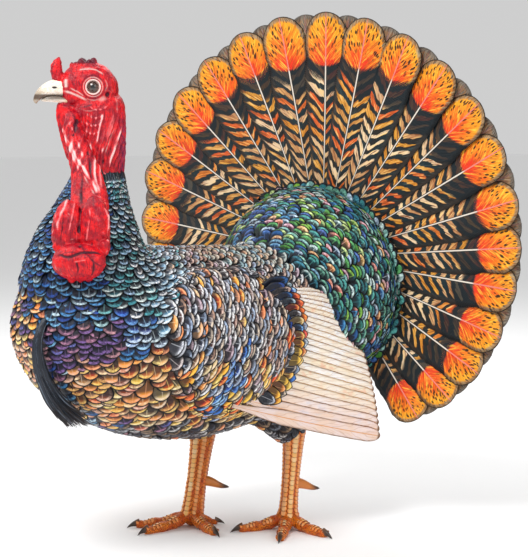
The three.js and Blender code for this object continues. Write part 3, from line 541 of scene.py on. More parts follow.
# Stations of the head's parts: ahead, up, half width and half height, from the middle of the skull.
SKULL = (
    (-48, -14, 21, 22),
    (-29, -4, 25.5, 31),
    (-6, 3, 26, 38),
    (14, 1, 24, 35),
    (30, -3, 18.5, 27),
    (44, -6, 13, 18),
)
THROAT = ((38, -18, 9, 12), (34, -42, 10, 16), (30, -64, 10, 16), (27, -88, 10, 13), (22, -116, 9, 10))
SNOOD = ((38, 4, 8, 8), (46, 16, 8.6, 10), (49, 31, 7.6, 9), (44, 49, 4.6, 5.4))
BARE_NECK = (
    (vec(0, -295, 575), (33, 37)),
    (vec(0, -295, 626), (36, 41)),
    (vec(0, -295, 660), (36, 43)),
    (vec(0, -296, 692), (34, 44.5)),
    (vec(-1, -298, 722), (31, 45)),
    (vec(-1, -303, 748), (24, 37)),
)
skull = sweep(head_stations(*SKULL), 48, 48, (0.3, 0.1), HEAD_SIDE)
cheeks = [ball(head_point(s * 16, -8, -15), (10, 17, 12), HEAD_TURN) for s in (1, -1)]
brows = [ball(head_point(s * 15, 2, 17), (9, 16, 8), HEAD_TURN) for s in (1, -1)]
bare_neck = sweep(BARE_NECK, 60, 64, (0.05, 0.2), HEAD_SIDE)
throat = sweep(head_stations(*THROAT), 40, 28, (0.12, 0.1), HEAD_SIDE)
WATTLE_TURN = turned(math.radians(38))
STEM = [
    (vec(-6, -338, 716), (11, 14)),
    (vec(4, -346, 690), (14, 16)),
    (vec(20, -347, 655), (18, 16)),
    (vec(40, -346, 616), (24, 17)),
    (vec(58, -353, 578), (30, 19)),
    (vec(72, -366, 540), (34, 22)),
]
LOBES = [
    (vec(61, -393, 530), (27, 21, 49)),
    (vec(92, -366, 532), (24, 21, 55)),
    (vec(92, -396, 486), (43, 26, 28)),
]
stem = sweep(STEM, caps=(0.1, 0.15), side=(0.8, 0.6, 0))
lobes = [ball(middle, half, WATTLE_TURN) for middle, half in LOBES]


def edge_bulbs():
    """Small bulbs of uneven size along the rim of the wattle."""
    made = []
    for i in range(13):
        angle = math.radians(-215 + 250 * i / 12)
        size = 7.5 + 2.5 * math.sin(2.7 * i)
        across = 38 * math.cos(angle)
        middle = vec(84 + 0.79 * across, -388 + 0.62 * across, 514 + 53 * math.sin(angle))
        made.append(ball(middle, (size, size, size * 1.25), WATTLE_TURN, 16, 10))
    return made


def snood_folds(u):
    return 1 + 0.06 * np.sin(46 * u) * (0.4 + u)


snood = sweep(head_stations(*SNOOD), 40, 24, (0.05, 0.3), HEAD_SIDE, snood_folds)


def crown_knobs():
    made = []
    for i in range(9):
        s = i / 8
        up = 25 + 16 * math.sin(math.pi * (0.2 + 0.35 * s))
        size = 4.6 + 1.6 * math.sin(5 * i)
        middle = head_point(7 * math.sin(2.4 * i), mix(24, -10, s), up)
        made.append(ball(middle, (size, size, size * 1.3), HEAD_TURN, 14, 9))
    return made


LID_RADIUS, LID_THICK, LID_OUT = 11.3, 1.9, 8.2
LID_SIDES, LID_ROUND = 40, 12
EYE_TILT = math.radians(9)  # the eye looks a little forward


def eye_axis(side):
    return HEAD_TURN @ vec(side * math.cos(EYE_TILT), -math.sin(EYE_TILT), 0)


def eye_middle(side):
    return head_point(side * EYE[0], -EYE[1], EYE[2])


def lid_ring(side):
    axis = eye_axis(side)
    around = np.linspace(0, 2 * math.pi, LID_SIDES, endpoint=False)
    small = np.linspace(0, 2 * math.pi, LID_ROUND, endpoint=False)
    middle = eye_middle(side) + axis * LID_OUT
    spokes = UP * np.sin(around)[:, None] + np.cross(axis, UP) * np.cos(around)[:, None]
    rings = middle + spokes[:, None] * (LID_RADIUS + LID_THICK * np.cos(small)[None, :, None])
    rings = rings + axis * LID_THICK * np.sin(small)[None, :, None]
    return turned_out(rings.reshape(-1, 3), [ring_quads(LID_SIDES, LID_ROUND, True)])


head_parts = [skull, bare_neck, throat, stem, snood, *cheeks, *brows, *lobes]
head_parts += [*edge_bulbs(), *crown_knobs(), lid_ring(1), lid_ring(-1)]
head = fused("head_skin", head_parts, FINE_VOXEL, HEAD_TURNS)
head_tree = tree_of(head)

# Folds (above 0) and creases (below 0) of the bare skin, as (width, height, points): where they show
# from the front left, in pixels of the picture.
FOLDS = [
    (2.6, 2.4, [(71, 140), (75, 155), (86, 172), (96, 190), (101, 203)]),
    (2.2, 2.0, [(84, 136), (91, 148), (94, 163), (96, 180), (101, 197)]),
    (2.2, 1.8, [(112, 116), (107, 132), (102, 150), (99, 168), (101, 190)]),
    (2.4, 2.0, [(121, 126), (117, 142), (111, 158), (105, 174), (103, 194)]),
    (2.0, 1.5, [(104, 112), (99, 128), (97, 144)]),
    (2.2, 1.8, [(62, 122), (66, 138), (73, 156), (80, 172)]),
    (2.0, 1.4, [(66, 116), (73, 130), (79, 146), (84, 160)]),
    (1.8, 1.4, [(118, 108), (114, 122), (109, 138)]),
    (2.6, 1.8, [(72, 184), (66, 204), (58, 226), (53, 246), (54, 262)]),
    (2.4, 1.8, [(103, 205), (108, 222), (110, 242), (106, 260)]),
    (2.0, 1.5, [(76, 186), (74, 206), (70, 226), (66, 246)]),
    (2.2, 1.5, [(90, 196), (90, 212), (88, 228), (86, 244)]),
    (1.6, 1.1, [(88, 106), (97, 110), (106, 107), (112, 100)]),
    (1.5, 1.0, [(70, 62), (78, 66), (88, 68), (100, 68), (110, 74)]),
    (1.4, 0.9, [(72, 74), (80, 72), (88, 72)]),
    (1.6, 1.1, [(86, 114), (95, 118), (103, 116)]),
    (1.6, 1.1, [(84, 122), (92, 126), (100, 124)]),
    (1.6, 1.0, [(84, 130), (92, 134), (99, 132)]),
    (2.6, -3.0, [(80, 190), (81, 210), (79, 230), (80, 250)]),
    (2.2, -2.2, [(58, 254), (68, 257), (80, 253), (92, 252), (104, 256)]),
    (2.6, -2.6, [(78, 118), (75, 128), (73, 138)]),
    (1.4, -1.3, [(58, 104), (66, 106), (76, 106), (86, 103)]),
    (1.8, -1.5, [(88, 150), (90, 166), (92, 184)]),
    (1.8, -1.4, [(108, 148), (103, 162), (100, 176)]),
    (1.8, -1.5, [(76, 262), (78, 270), (76, 279)]),
    (1.8, -1.5, [(92, 258), (94, 268), (91, 277)]),
    (1.4, -1.2, [(64, 212), (62, 228), (60, 244)]),
]

# Paler (above 0) and darker (below 0) paint on it, as (width, amount, points), in the same pixels:
# partly the skin's own marks, partly painted highlights and painted shade.
MARKS_AND_PAINTED_LIGHT = [
    # The skin's own pale colour: the gape, the cere, round the eye and the brow.
    (2.3, 0.95, [(60, 90), (68, 92), (78, 96), (88, 101)]),
    (3.4, 0.9, [(66, 79), (66, 88)]),
    (1.3, 0.8, [(70, 88), (78, 92), (84, 96)]),
    (1.8, 0.6, [(86, 98), (94, 100), (102, 97)]),
    (1.6, 0.5, [(103, 93), (107, 86), (105, 79)]),
    (1.8, 0.7, [(78, 70), (86, 69), (96, 70), (104, 75)]),
    # Painted highlights: behind the cheek, on the crests of the neck's folds, and on the rims and folds
    # of the wattle.
    (1.8, 0.5, [(112, 88), (116, 100), (117, 112)]),
    (1.5, 0.85, [(70, 146), (76, 160), (84, 176), (93, 192), (99, 202)]),
    (1.5, 0.85, [(94, 144), (95, 160), (94, 178)]),
    (1.4, 0.75, [(118, 140), (112, 158), (104, 176), (100, 188)]),
    (1.1, 0.6, [(115, 126), (109, 142), (105, 154)]),
    (1.2, 0.6, [(60, 120), (66, 136), (74, 154)]),
    (1.5, 0.75, [(74, 180), (66, 196), (55, 216), (52, 236), (55, 252)]),
    (1.4, 0.75, [(104, 196), (109, 214), (110, 236), (107, 252)]),
    (1.5, 0.6, [(54, 264), (62, 275), (78, 283), (96, 279), (105, 266)]),
    (1.0, 0.65, [(67, 195), (72, 204)]),
    (1.0, 0.65, [(62, 208), (70, 215)]),
    (1.0, 0.6, [(70, 240), (84, 236)]),
    (1.2, 0.5, [(74, 262), (86, 260)]),
    (1.0, 0.5, [(78, 108), (88, 111), (98, 109)]),
    # Painted shade: under the jaw, beneath the gape, in the creases of the neck and wattle, between the
    # wattle's lobes, down the rear edge of the neck and round the snood.
    (3.0, -1.0, [(71, 110), (75, 120), (78, 131)]),
    (1.5, -0.9, [(62, 103), (72, 106), (84, 107), (94, 104)]),
    (2.6, -0.95, [(83, 170), (82, 184), (81, 198), (80, 212), (79, 226), (80, 238)]),
    (1.6, -0.8, [(90, 186), (93, 198), (94, 208)]),
    (1.6, -0.8, [(72, 150), (78, 164), (84, 180)]),
    (1.7, -0.8, [(55, 257), (62, 254), (69, 252), (79, 254)]),
    (2.0, -0.9, [(79, 237), (83, 249), (90, 258), (97, 264), (103, 267)]),
    (3.0, -0.6, [(122, 146), (118, 164), (112, 178)]),
    (1.4, -0.8, [(99, 150), (101, 168), (99, 184)]),
    (1.3, -0.7, [(110, 120), (106, 138), (103, 152)]),
    (1.2, -0.7, [(84, 113), (94, 117), (104, 112)]),
    (1.2, -0.6, [(86, 121), (94, 124), (102, 121)]),
    (1.2, -0.8, [(76, 64), (77, 74), (73, 83)]),
    (1.1, -0.7, [(70, 74), (72, 82), (76, 90)]),
    (1.0, -0.7, [(64, 214), (62, 230), (60, 246)]),
    (1.2, -0.6, [(88, 140), (90, 158), (90, 174)]),
    (2.0, -0.9, [(52, 76), (52, 68), (55, 61)]),
    (1.6, -0.8, [(60, 59), (61, 66), (62, 74)]),
]


# Rings round the eye: (radius, width, height) of the wrinkles, and (radius, darkness) of the lines.
EYE_WRINKLES = ((15.3, 1.1, 0.7), (18.6, 1.2, 0.5), (13.6, 0.8, -0.9))
EYE_LINES = ((13.3, 0.6), (18.0, 0.75))
CHEEK, CHEEK_HALF = (22, -17, -17), (9, 9, 6)
EAR = (24, -28, -11)


def mirrored(points):
    """Across the middle plane of the head."""
    off = (points - HEAD_AT) @ HEAD_SIDE
    return points - 2 * off[:, None] * HEAD_SIDE


def snapped(points, tree):
    found = [tree.find_nearest(Vector((p + MOVED) * MM))[0] for p in points]
    return np.array(found) / MM - MOVED


def stroke(points, line, width):
    """1 on a line drawn over a surface, falling to 0 at `width` from it."""
    samples = spline(line, np.linspace(0, 1, 12 * len(line)))
    low, high = samples.min(0) - width * 2, samples.max(0) + width * 2
    near = np.where(((points > low) & (points < high)).all(1))[0]
    result = np.zeros(len(points))
    if len(near):
        distance = np.sqrt(((points[near][:, None] - samples[None]) ** 2).sum(2))
        closest = distance.argmin(1)
        share = closest / (len(samples) - 1)
        taper = smooth(0, 0.12, share) * smooth(0, 0.12, 1 - share)
        result[near] = bell(distance.min(1), width) * (0.15 + 0.85 * taper)
    return result


def drawn(pixels):
    """A line of the picture on the skin of the head, and its fellow where it lies above the wattle."""
    seen = [seen_at(p, head_tree) for p in pixels]
    line = np.array([p for p in seen if p is not None])
    if len(line) < 2:
        return []
    both = line[:, 2].min() > NECK_TOP_Z - 10
    return [line] + ([snapped(mirrored(line), head_tree)] if both else [])


def sculpt_head():
    """Lids, mouth, ears, folds and wrinkles; returns how raised each point is, which the colours turn
    into painted highlights on crests and painted shade in hollows, and how pale each point is, the
    skin's own marks together with painted highlights and painted shade.
    """
    mesh = head.data
    points, normals = read(mesh), normals_of(mesh)
    raised = np.zeros(len(points))
    for width, height, pixels in FOLDS:
        for line in drawn(pixels):
            raised += height * stroke(points, line, width)
    # Long folds run down the neck and draw together towards the wattle.
    off = points - HEAD_AT
    side = off @ HEAD_SIDE
    ahead = -(off @ (HEAD_TURN @ vec(0, 1, 0)))
    around = np.arctan2(side, ahead + 5)
    down = smooth(720, 610, points[:, 2])
    lines = np.cos(26 * around * (1 + 0.4 * down) + 2.2 * noise(points, 18, 5))
    raised += 0.75 * (lines * smooth(730, 705, points[:, 2])) * smooth(560, 640, points[:, 2])
    marked = raised.copy()  # what the colours follow, as painted highlights on crests and painted shade in creases: the folds, without most of the wrinkles
    # Wrinkles and small bulbs: coarse on the wattle, finer on the cheeks and crown.
    low = smooth(600, 560, points[:, 2])
    stretched = points * np.array([1, 1, 0.55])
    raised += (1.5 * noise(points, 8, 7) + 0.9 * noise(points, 4.2, 8)) * low
    raised += (0.7 * noise(stretched, 4.5, 9) + 0.45 * noise(points, 2.6, 10)) * (1 - low)
    marked += 0.25 * (raised - marked)
    pale, dark = np.zeros(len(points)), np.zeros(len(points))
    for width, amount, pixels in MARKS_AND_PAINTED_LIGHT:
        for line in drawn(pixels):
            mark = 0.86 * abs(amount) * stroke(points, line, 0.85 * width)
            if amount > 0:
                pale = np.maximum(pale, mark)
            else:
                dark = np.maximum(dark, mark)
    local = off @ HEAD_TURN
    knobs = smooth(35, 40, local[:, 2]) * smooth(-32, -24, local[:, 1]) * smooth(18, 10, local[:, 1])
    dark = np.maximum(dark, 0.85 * knobs)
    carried = points + normals * raised[:, None]
    for s in (1, -1):
        from_eye = points - eye_middle(s)
        depth = from_eye @ eye_axis(s)
        ring = np.linalg.norm(from_eye - depth[:, None] * eye_axis(s), axis=1)
        facing = depth > 0
        hold = smooth(12, 17, ring) * facing + ~facing
        carried = mix(points, carried, hold[:, None])
        wrinkle = sum(height * bell(ring, width, radius) for radius, width, height in EYE_WRINKLES)
        carried += normals * (wrinkle * facing)[:, None]
        # the wrinkles round the eye get painted highlights on their crests and painted shade in their
        # crease
        marked = mix(marked, wrinkle * 1.2, (1 - hold))
        sunk = smooth(10.4, 8.8, ring) * facing
        bottom = carried - eye_axis(s) * np.maximum(0, depth - 1.0)[:, None]
        carried = mix(carried, bottom, sunk[:, None])
        pale = np.maximum(pale, smooth(17.0, 13.5, ring) * facing)
        dark = dark * (1 - smooth(20, 17, ring) * facing)
        for radius, amount in EYE_LINES:
            dark += amount * bell(ring, 1.05, radius) * facing
        from_cheek = points - head_point(s * CHEEK[0], *CHEEK[1:])
        cheek = np.linalg.norm(from_cheek / vec(*CHEEK_HALF), axis=1)
        pale = np.maximum(pale, 0.45 * smooth(1.3, 0.4, cheek))
        ear = np.linalg.norm(points - head_point(s * EAR[0], *EAR[1:]), axis=1)
        ear_rim, hole = bell(ear, 1.4, 6.4), bell(ear, 3.4)
        carried += normals * (ear_rim - 3.2 * hole)[:, None]
        # the ear's rim gets painted highlight and its hole painted shade
        marked += ear_rim - 4 * hole
    write(mesh, carried)
    return marked, np.clip(pale, 0, 1) * (1 - dark) - dark


raised, pale = sculpt_head()


# ---- The skin: legs ----
LEGS = {
    "left": dict(at=(69, 42), hock=(72, 54), toes=(-18, 42, 90), hallux=212, spur=165, side=1),
    "right": dict(at=(-50, -72), hock=(-56, -40), toes=(78, 2, -28), hallux=150, spur=150, side=-1),
}
HOCK_Z = 178
TOE_LENGTHS = (90, 104, 98)
TOE_THICK, HALLUX_LENGTH, HALLUX_THICK = 12.5, 44, 8


def heading(degrees):
    return vec(math.sin(math.radians(degrees)), -math.cos(math.radians(degrees)), 0)


def leg_points(name):
    leg = LEGS[name]
    return vec(*leg["hock"], HOCK_Z), vec(*leg["at"], FLOOR + 22), heading(leg["toes"][1])


def shank_radius(s):
    return 15 + 8 * (1 - s) ** 2.4 + 4 * s**4


def shank_shell(name):
    hock, ankle, facing = leg_points(name)
    across = np.cross(UP, facing)
    rings = []
    for t in np.linspace(-0.12, 1, 60):
        s = max(0.0, t)
        slim = shank_radius(s) * (1 if t > -0.04 else 0.97)
        centre = mix(hock, ankle, t)
        angle = 2 * np.pi * np.arange(36) / 36
        groove = 1 - 0.05 * bell(np.abs(np.sin(angle)), 0.14, 0.8)
        rings.append(
            centre
            + facing * (slim * 1.12 * groove * np.cos(angle))[:, None]
            + across * (slim * 0.9 * groove * np.sin(angle))[:, None]
        )
    return grid_shell(rings)


def toe_line(direction, start, length, thick, lift, s):
    """The middle and half thickness of a toe, s of the way to its claw."""
    knuckle = 1 + 0.1 * np.cos(6 * np.pi * s)
    fat = thick * (1 - 0.4 * s) * knuckle
    height = FLOOR + np.maximum(0.7 * fat, 24 * (1 - s**0.6))
    middle = start + direction * (length * s)[:, None]
    middle[:, 2] = height + lift * (1 - s)
    return middle, fat


def toe_shell(direction, start, length, thick, lift=0):
    s = np.linspace(0, 1, 56)
    middle, fat = toe_line(direction, start, length, thick, lift, s)
    fat = fat * np.where(s > 0.93, np.sqrt(np.maximum(0.06, 1 - ((s - 0.93) / 0.075) ** 2)), 1)
    cross = np.cross(UP, direction)
    angle = 2 * np.pi * np.arange(28) / 28
    rings = middle[:, None] + cross * (fat[:, None] * np.cos(angle))[..., None]
    rings = rings + UP * (0.9 * fat[:, None] * np.sin(angle))[..., None]
    rings[..., 2] = np.maximum(FLOOR, rings[..., 2])
    return grid_shell(rings)


def leg_shells(name):
    leg = LEGS[name]
    hock, ankle, facing = leg_points(name)
    shells = [shank_shell(name), ball(vec(ankle[0], ankle[1], FLOOR + 19), (20, 20, 19))]
    shells += [toe_shell(heading(d), ankle, n, TOE_THICK) for d, n in zip(leg["toes"], TOE_LENGTHS)]
    shells.append(toe_shell(heading(leg["hallux"]), ankle, HALLUX_LENGTH, HALLUX_THICK, 8))
    return shells


legs = fused("leg_skin", leg_shells("left") + leg_shells("right"), FINE_VOXEL, LEG_TURNS)
leg_p = read(legs.data)
leg_p[:, 2] = np.maximum(FLOOR, leg_p[:, 2])
soles = leg_p[:, 2] < FLOOR + 1.2
leg_p[soles, 2] = FLOOR
pebbles = 0.35 * noise(leg_p, 3.2, 21) + 0.25 * noise(leg_p, 1.8, 22)
write(legs.data, leg_p + normals_of(legs.data) * (pebbles * ~soles)[:, None])


# ---- One skin ----
def join_skin():
    """The three shells fused into one closed surface."""
    for other in (head, legs):
        cut = body.modifiers.new("join", "BOOLEAN")
        cut.operation = "UNION"
        cut.solver = "MANIFOLD"
        cut.object = other
    evaluated(body)


body_points, body_normals = read(body.data), normals_of(body.data)
body_faces = np.array([p.vertices[:] for p in body.data.polygons if len(p.vertices) == 4])
head_points = read(head.data)
leg_tree = tree_of(legs)
head_tree = tree_of(head)
join_skin()


# ---- Feathers ----
def vanes(path, out, along, half, camber, thick, columns=5, ragged=0.0):
    """Feathers as closed vanes. path, out and along are (feathers, rows, 3), half (feathers, rows)."""
    count, rows = half.shape
    across = unit(np.cross(along, out))
    u = np.linspace(-1, 1, columns)
    reach = half[..., None] * u
    if ragged:
        reach = reach * (1 + ragged * rng.uniform(-1, 1, (count, rows, 1)) * (np.abs(u) > 0.9))
    top = path[:, :, None] + across[:, :, None] * reach[..., None]
    top = top - out[:, :, None] * (np.reshape(camber, (-1, 1, 1)) * half[..., None] * u**2)[..., None]
    under = path - out * np.reshape(thick, (-1, 1, 1))
    points = np.concatenate([top, under[:, :, None]], axis=2)
    n = columns + 1
    start = np.arange(count)[:, None] * rows * n
    quads = (start[..., None] + ring_quads(rows, n)).reshape(-1, 4)
    root = start + np.arange(n)[::-1]
    tip = start + (rows - 1) * n + np.arange(n)
    return points.reshape(-1, 3), [quads, root, tip]


def vane_places(count, rows, columns, shares, seeds):
    """Across (-1 to 1), along (0 to 1) and a number of its own for each point of a set of vanes."""
    u = np.append(np.linspace(-1, 1, columns), 0)
    grid = np.empty((count, rows, columns + 1, 3))
    grid[..., 0] = u
    grid[..., 1] = shares[None, :, None]
    grid[..., 2] = seeds[:, None, None]
    return grid.reshape(-1, 3)


TIP_FROM = 0.58  # a body feather's rounded tip begins here
BODY_SHARES = np.array([0, 0.3, 0.58, 0.7, 0.81, 0.9, 0.965, 1.0])


def body_form(shares):
    """How wide a body feather is: it widens from its root, and ends in half of an ellipse."""
    over = np.clip((shares - TIP_FROM) / (1 - TIP_FROM), 0, 1)
    return mix(0.55, 1, smooth(0, TIP_FROM, shares)) * np.sqrt(np.maximum(0.004, 1 - over**2))


PATCH = 0.003  # of the unwrap that one feather takes

SIZES = {
    # half width, length, spacing across and along, height of the tip over the skin
    "neck_top": (6.5, 18, 8.5, 5.0, 2.8),
    "neck": (10.5, 25, 14.0, 6.2, 4.0),
    "breast": (16.5, 32, 20.0, 6.8, 5.0),
    "low": (19.0, 38, 24.5, 8.8, 6.0),
    "back": (14.5, 29, 18.0, 5.8, 4.6),
    "belly": (13.0, 36, 18.0, 11.5, 6.0),
    "thigh": (9.0, 27, 12.5, 8.0, 4.4),
    "rump": (16.5, 27, 19.5, 4.2, 3.8),
    "undertail": (17.0, 62, 22.0, 18.0, 8.0),
    "wing": (18.5, 28, 22.5, 4.7, 4.4),
}


# Where the coat of the dome and of the undertail is: shares of their radius, and out of the fan's plane.
DOME_SHELL, UNDERTAIL_SHELL = (0.8, 1.06), (0.7, 1.3)
FAN_PLANE, UNDERTAIL_TO = 2, -90
THIGH_BEHIND = 18  # the thigh's middle lies so far in front of the hock
LIE_FROM = vec(0, -300, 690)  # the coat lies away from the top of the neck
DOME_FLOW_FROM = 20  # the feathers of the raised rump lie away from a point so far below its middle
UNDERTAIL_FLOW_FROM = 30
SHOULDER = (120, -330, 385)


def between(x, low, high):
    return (x > low) & (x < high)


def region_shares(p, n):
    """How much each region of the coat counts at each point."""
    f = in_fan(p)
    dome = np.linalg.norm((f - DOME_AT) / vec(DOME_RADIUS, DOME_RADIUS, DOME_DEPTH), axis=1)
    behind = np.linalg.norm((f - UNDERTAIL_AT) / vec(*UNDERTAIL_HALF), axis=1)
    on_undertail = (f[:, 2] <= FAN_PLANE) & (f[:, 2] > UNDERTAIL_TO) & between(behind, *UNDERTAIL_SHELL)
    u, angle = along_trunk(p)
    wing_r = np.hypot((u - WING_U) / WING_HALF_U, (angle - WING_ANGLE) / WING_HALF_ANGLE)
    shares = {}
    shares["rump"] = ((f[:, 2] > FAN_PLANE) & between(dome, *DOME_SHELL)).astype(float)
    shares["undertail"] = on_undertail.astype(float)
    tail = np.maximum(shares["rump"], shares["undertail"])
    shares["wing"] = (1 - tail) * (wing_r < 1.04) * (np.abs(p[:, 0]) > 60)
    thigh = np.zeros(len(p))
    for name in LEGS:
        hock, _, _ = leg_points(name)
        near = np.hypot(p[:, 0] - hock[0], p[:, 1] - (hock[1] - THIGH_BEHIND))
        thigh = np.maximum(thigh, smooth(74, 56, near) * smooth(208, 192, p[:, 2]))
    left = (1 - tail) * (1 - shares["wing"])
    shares["thigh"] = left * thigh
    left = left * (1 - thigh)
    z = p[:, 2]
    front = smooth(-60, -190, p[:, 1])
    up = smooth(0.25, 0.8, n[:, 2])
    neck = left * front * smooth(430, 500, z)
    top = smooth(560, 625, z)
    shares["neck_top"] = neck * top
    shares["neck"] = neck * (1 - top)
    left = left - neck
    shares["back"] = left * np.maximum(up, (1 - front) * smooth(300, 360, z))
    left = left - shares["back"]
    shares["belly"] = left * smooth(235, 200, z)
    left = left - shares["belly"]
    low = smooth(370, 300, z)
    shares["low"] = left * low
    shares["breast"] = left * (1 - low)
    return shares


def flow_of(p, n, shares):
    """The way that the coat lies at each point."""
    away = unit(p - LIE_FROM)
    backward = unit(vec(0, 1, -0.22))
    d = away + backward * (0.9 * smooth(-330, -120, p[:, 1]))[:, None]
    f = in_fan(p)
    radial = FAN_LEFT * (f[:, :1] - DOME_LEFT) + FAN_UP * (f[:, 1:2] - DOME_UP + DOME_FLOW_FROM)
    d = mix(d, unit(radial) - 0.15 * FAN_FACE, shares["rump"][:, None])
    radial = FAN_LEFT * f[:, :1] + FAN_UP * (f[:, 1:2] + UNDERTAIL_FLOW_FROM)
    d = mix(d, unit(radial) + 0.1 * FAN_FACE, shares["undertail"][:, None])
    shoulder = vec(0, *SHOULDER[1:]) + np.sign(p[:, 0])[:, None] * vec(SHOULDER[0], 0, 0)
    d = mix(d, unit(p - shoulder), shares["wing"][:, None] * 0.85)
    d = mix(d, vec(0, 0.15, -1) + n * 0, shares["thigh"][:, None])
    swirl = noise(p, 60, 31)[:, None] * 0.16
    d = d - n * (d * n).sum(1, keepdims=True)
    d = unit(d)
    return unit(d + np.cross(n, d) * swirl)


def sizes_at(shares):
    total = sum(shares[k] for k in SIZES)
    return sum(shares[k][:, None] * np.array(SIZES[k]) for k in SIZES) / np.maximum(total, 1e-6)[:, None]


def row_order(p, shares):
    """How far down the lie of the coat each point is, so that the feathers come to stand in rows."""
    f = in_fan(p)
    order = np.linalg.norm((p - LIE_FROM) * vec(1.15, 1, 1), axis=1)
    across_fan = np.hypot(f[:, 0] - DOME_LEFT, f[:, 1] - DOME_UP + DOME_FLOW_FROM)
    order = np.where(shares["rump"] > 0, 2000 + across_fan, order)
    across_fan = np.hypot(f[:, 0], f[:, 1] + UNDERTAIL_FLOW_FROM)
    return np.where(shares["undertail"] > 0, 4000 + across_fan, order)


def scattered():
    """Roots on the skin, set apart by the feathers' size there: further along the lie than across it."""
    corners = body_points[body_faces]
    triangles = np.concatenate([corners[:, [0, 1, 2]], corners[:, [0, 2, 3]]])
    of_face = np.concatenate([body_faces[:, [0, 1, 2]], body_faces[:, [0, 2, 3]]])
    first, second, third = (triangles[:, k] for k in range(3))
    area = np.linalg.norm(np.cross(second - first, third - first), axis=1) / 2
    middle = triangles.mean(1)
    size = sizes_at(region_shares(middle, body_normals[of_face].mean(1)))
    wanted = area / (size[:, 2] * size[:, 3])
    tries = int(14 * wanted.sum())
    chosen = rng.choice(len(area), tries, p=wanted / wanted.sum())
    a, b = rng.random(tries), rng.random(tries)
    flip = a + b > 1
    a[flip], b[flip] = 1 - a[flip], 1 - b[flip]
    w = np.stack([1 - a - b, a, b], 1)[..., None]
    p = (triangles[chosen] * w).sum(1)
    n = unit((body_normals[of_face[chosen]] * w).sum(1))
    keep = uncovered(p)
    p, n = p[keep], n[keep]
    shares = region_shares(p, n)
    size = sizes_at(shares)
    d = flow_of(p, n, shares)
    across = np.cross(d, n)
    tree = point_tree(p)
    free = np.ones(len(p), bool)
    kept = []
    for i in np.argsort(row_order(p, shares)):
        if not free[i]:
            continue
        kept.append(i)
        near = np.array([j for _, j, _ in tree.find_range(p[i], max(size[i, 2], size[i, 3]))])
        step = p[near] - p[i]
        close = (step @ across[i] / size[i, 2]) ** 2 + (step @ d[i] / size[i, 3]) ** 2 < 1
        free[near[close & ((n[near] @ n[i]) > 0.2)]] = False
    kept = np.array(kept)
    return p[kept], n[kept], d[kept], {k: v[kept] for k, v in shares.items()}, size[kept]


def inside(points, tree, margin):
    """Whether each point lies inside a closed surface, or outside it by less than `margin`."""
    result = np.zeros(len(points), bool)
    for i, p in enumerate(points):
        place = Vector((p + MOVED) * MM)
        hit, normal, _, distance = tree.find_nearest(place, 0.06)
        if hit is not None:
            depth = (place - hit).dot(normal) / MM
            result[i] = depth < margin and (depth < 0 or distance / MM < margin)
    return result


def uncovered(p):
    """Where the skin of the body isn't under the bare neck, the wattle, a leg or the top of the neck."""
    head_zone = (p[:, 2] > 430) & (p[:, 1] < -230)
    covered = np.zeros(len(p), bool)
    where = np.where(head_zone)[0]
    covered[where] = inside(p[where], head_tree, 1.5)
    covered |= (p[:, 2] > NECK_TOP_Z + 1) & (p[:, 1] < -200)
    where = np.where(p[:, 2] < 185)[0]
    covered[where] |= inside(p[where], leg_tree, 0.5)
    return ~covered


body_face_normals = unit(body_normals[body_faces].mean(1))
march_tree = BVHTree.FromPolygons(body_points.tolist(), body_faces.tolist())


def laid(roots, normals, ways, lengths, heights, shares):
    """Feathers' shafts as they lie over the skin: points, normals and ways, (feathers, rows, 3)."""
    count, rows = len(roots), len(shares)
    path = np.empty((count, rows, 3))
    out = np.empty((count, rows, 3))
    along = np.empty((count, rows, 3))
    for i in range(count):
        p, n, d = roots[i], normals[i], ways[i]
        previous = 0.0
        for r, share in enumerate(shares):
            ahead = p + d * (share - previous) * lengths[i]
            hit, _, index, _ = march_tree.find_nearest(Vector(ahead))
            p = np.array(hit)
            n = unit(n * 0.5 + body_face_normals[index])
            d = unit(d - n * (d @ n))
            previous = share
            path[i, r], out[i, r], along[i, r] = p, n, d
    rise = -1.2 + (heights[:, None] * rng.uniform(0.9, 1.12, (count, 1)) + 1.2) * shares**0.9
    path += out * rise[..., None]
    roll = rng.uniform(-0.1, 0.1, (count, 1, 1))
    return path, unit(out + np.cross(along, out) * roll), along


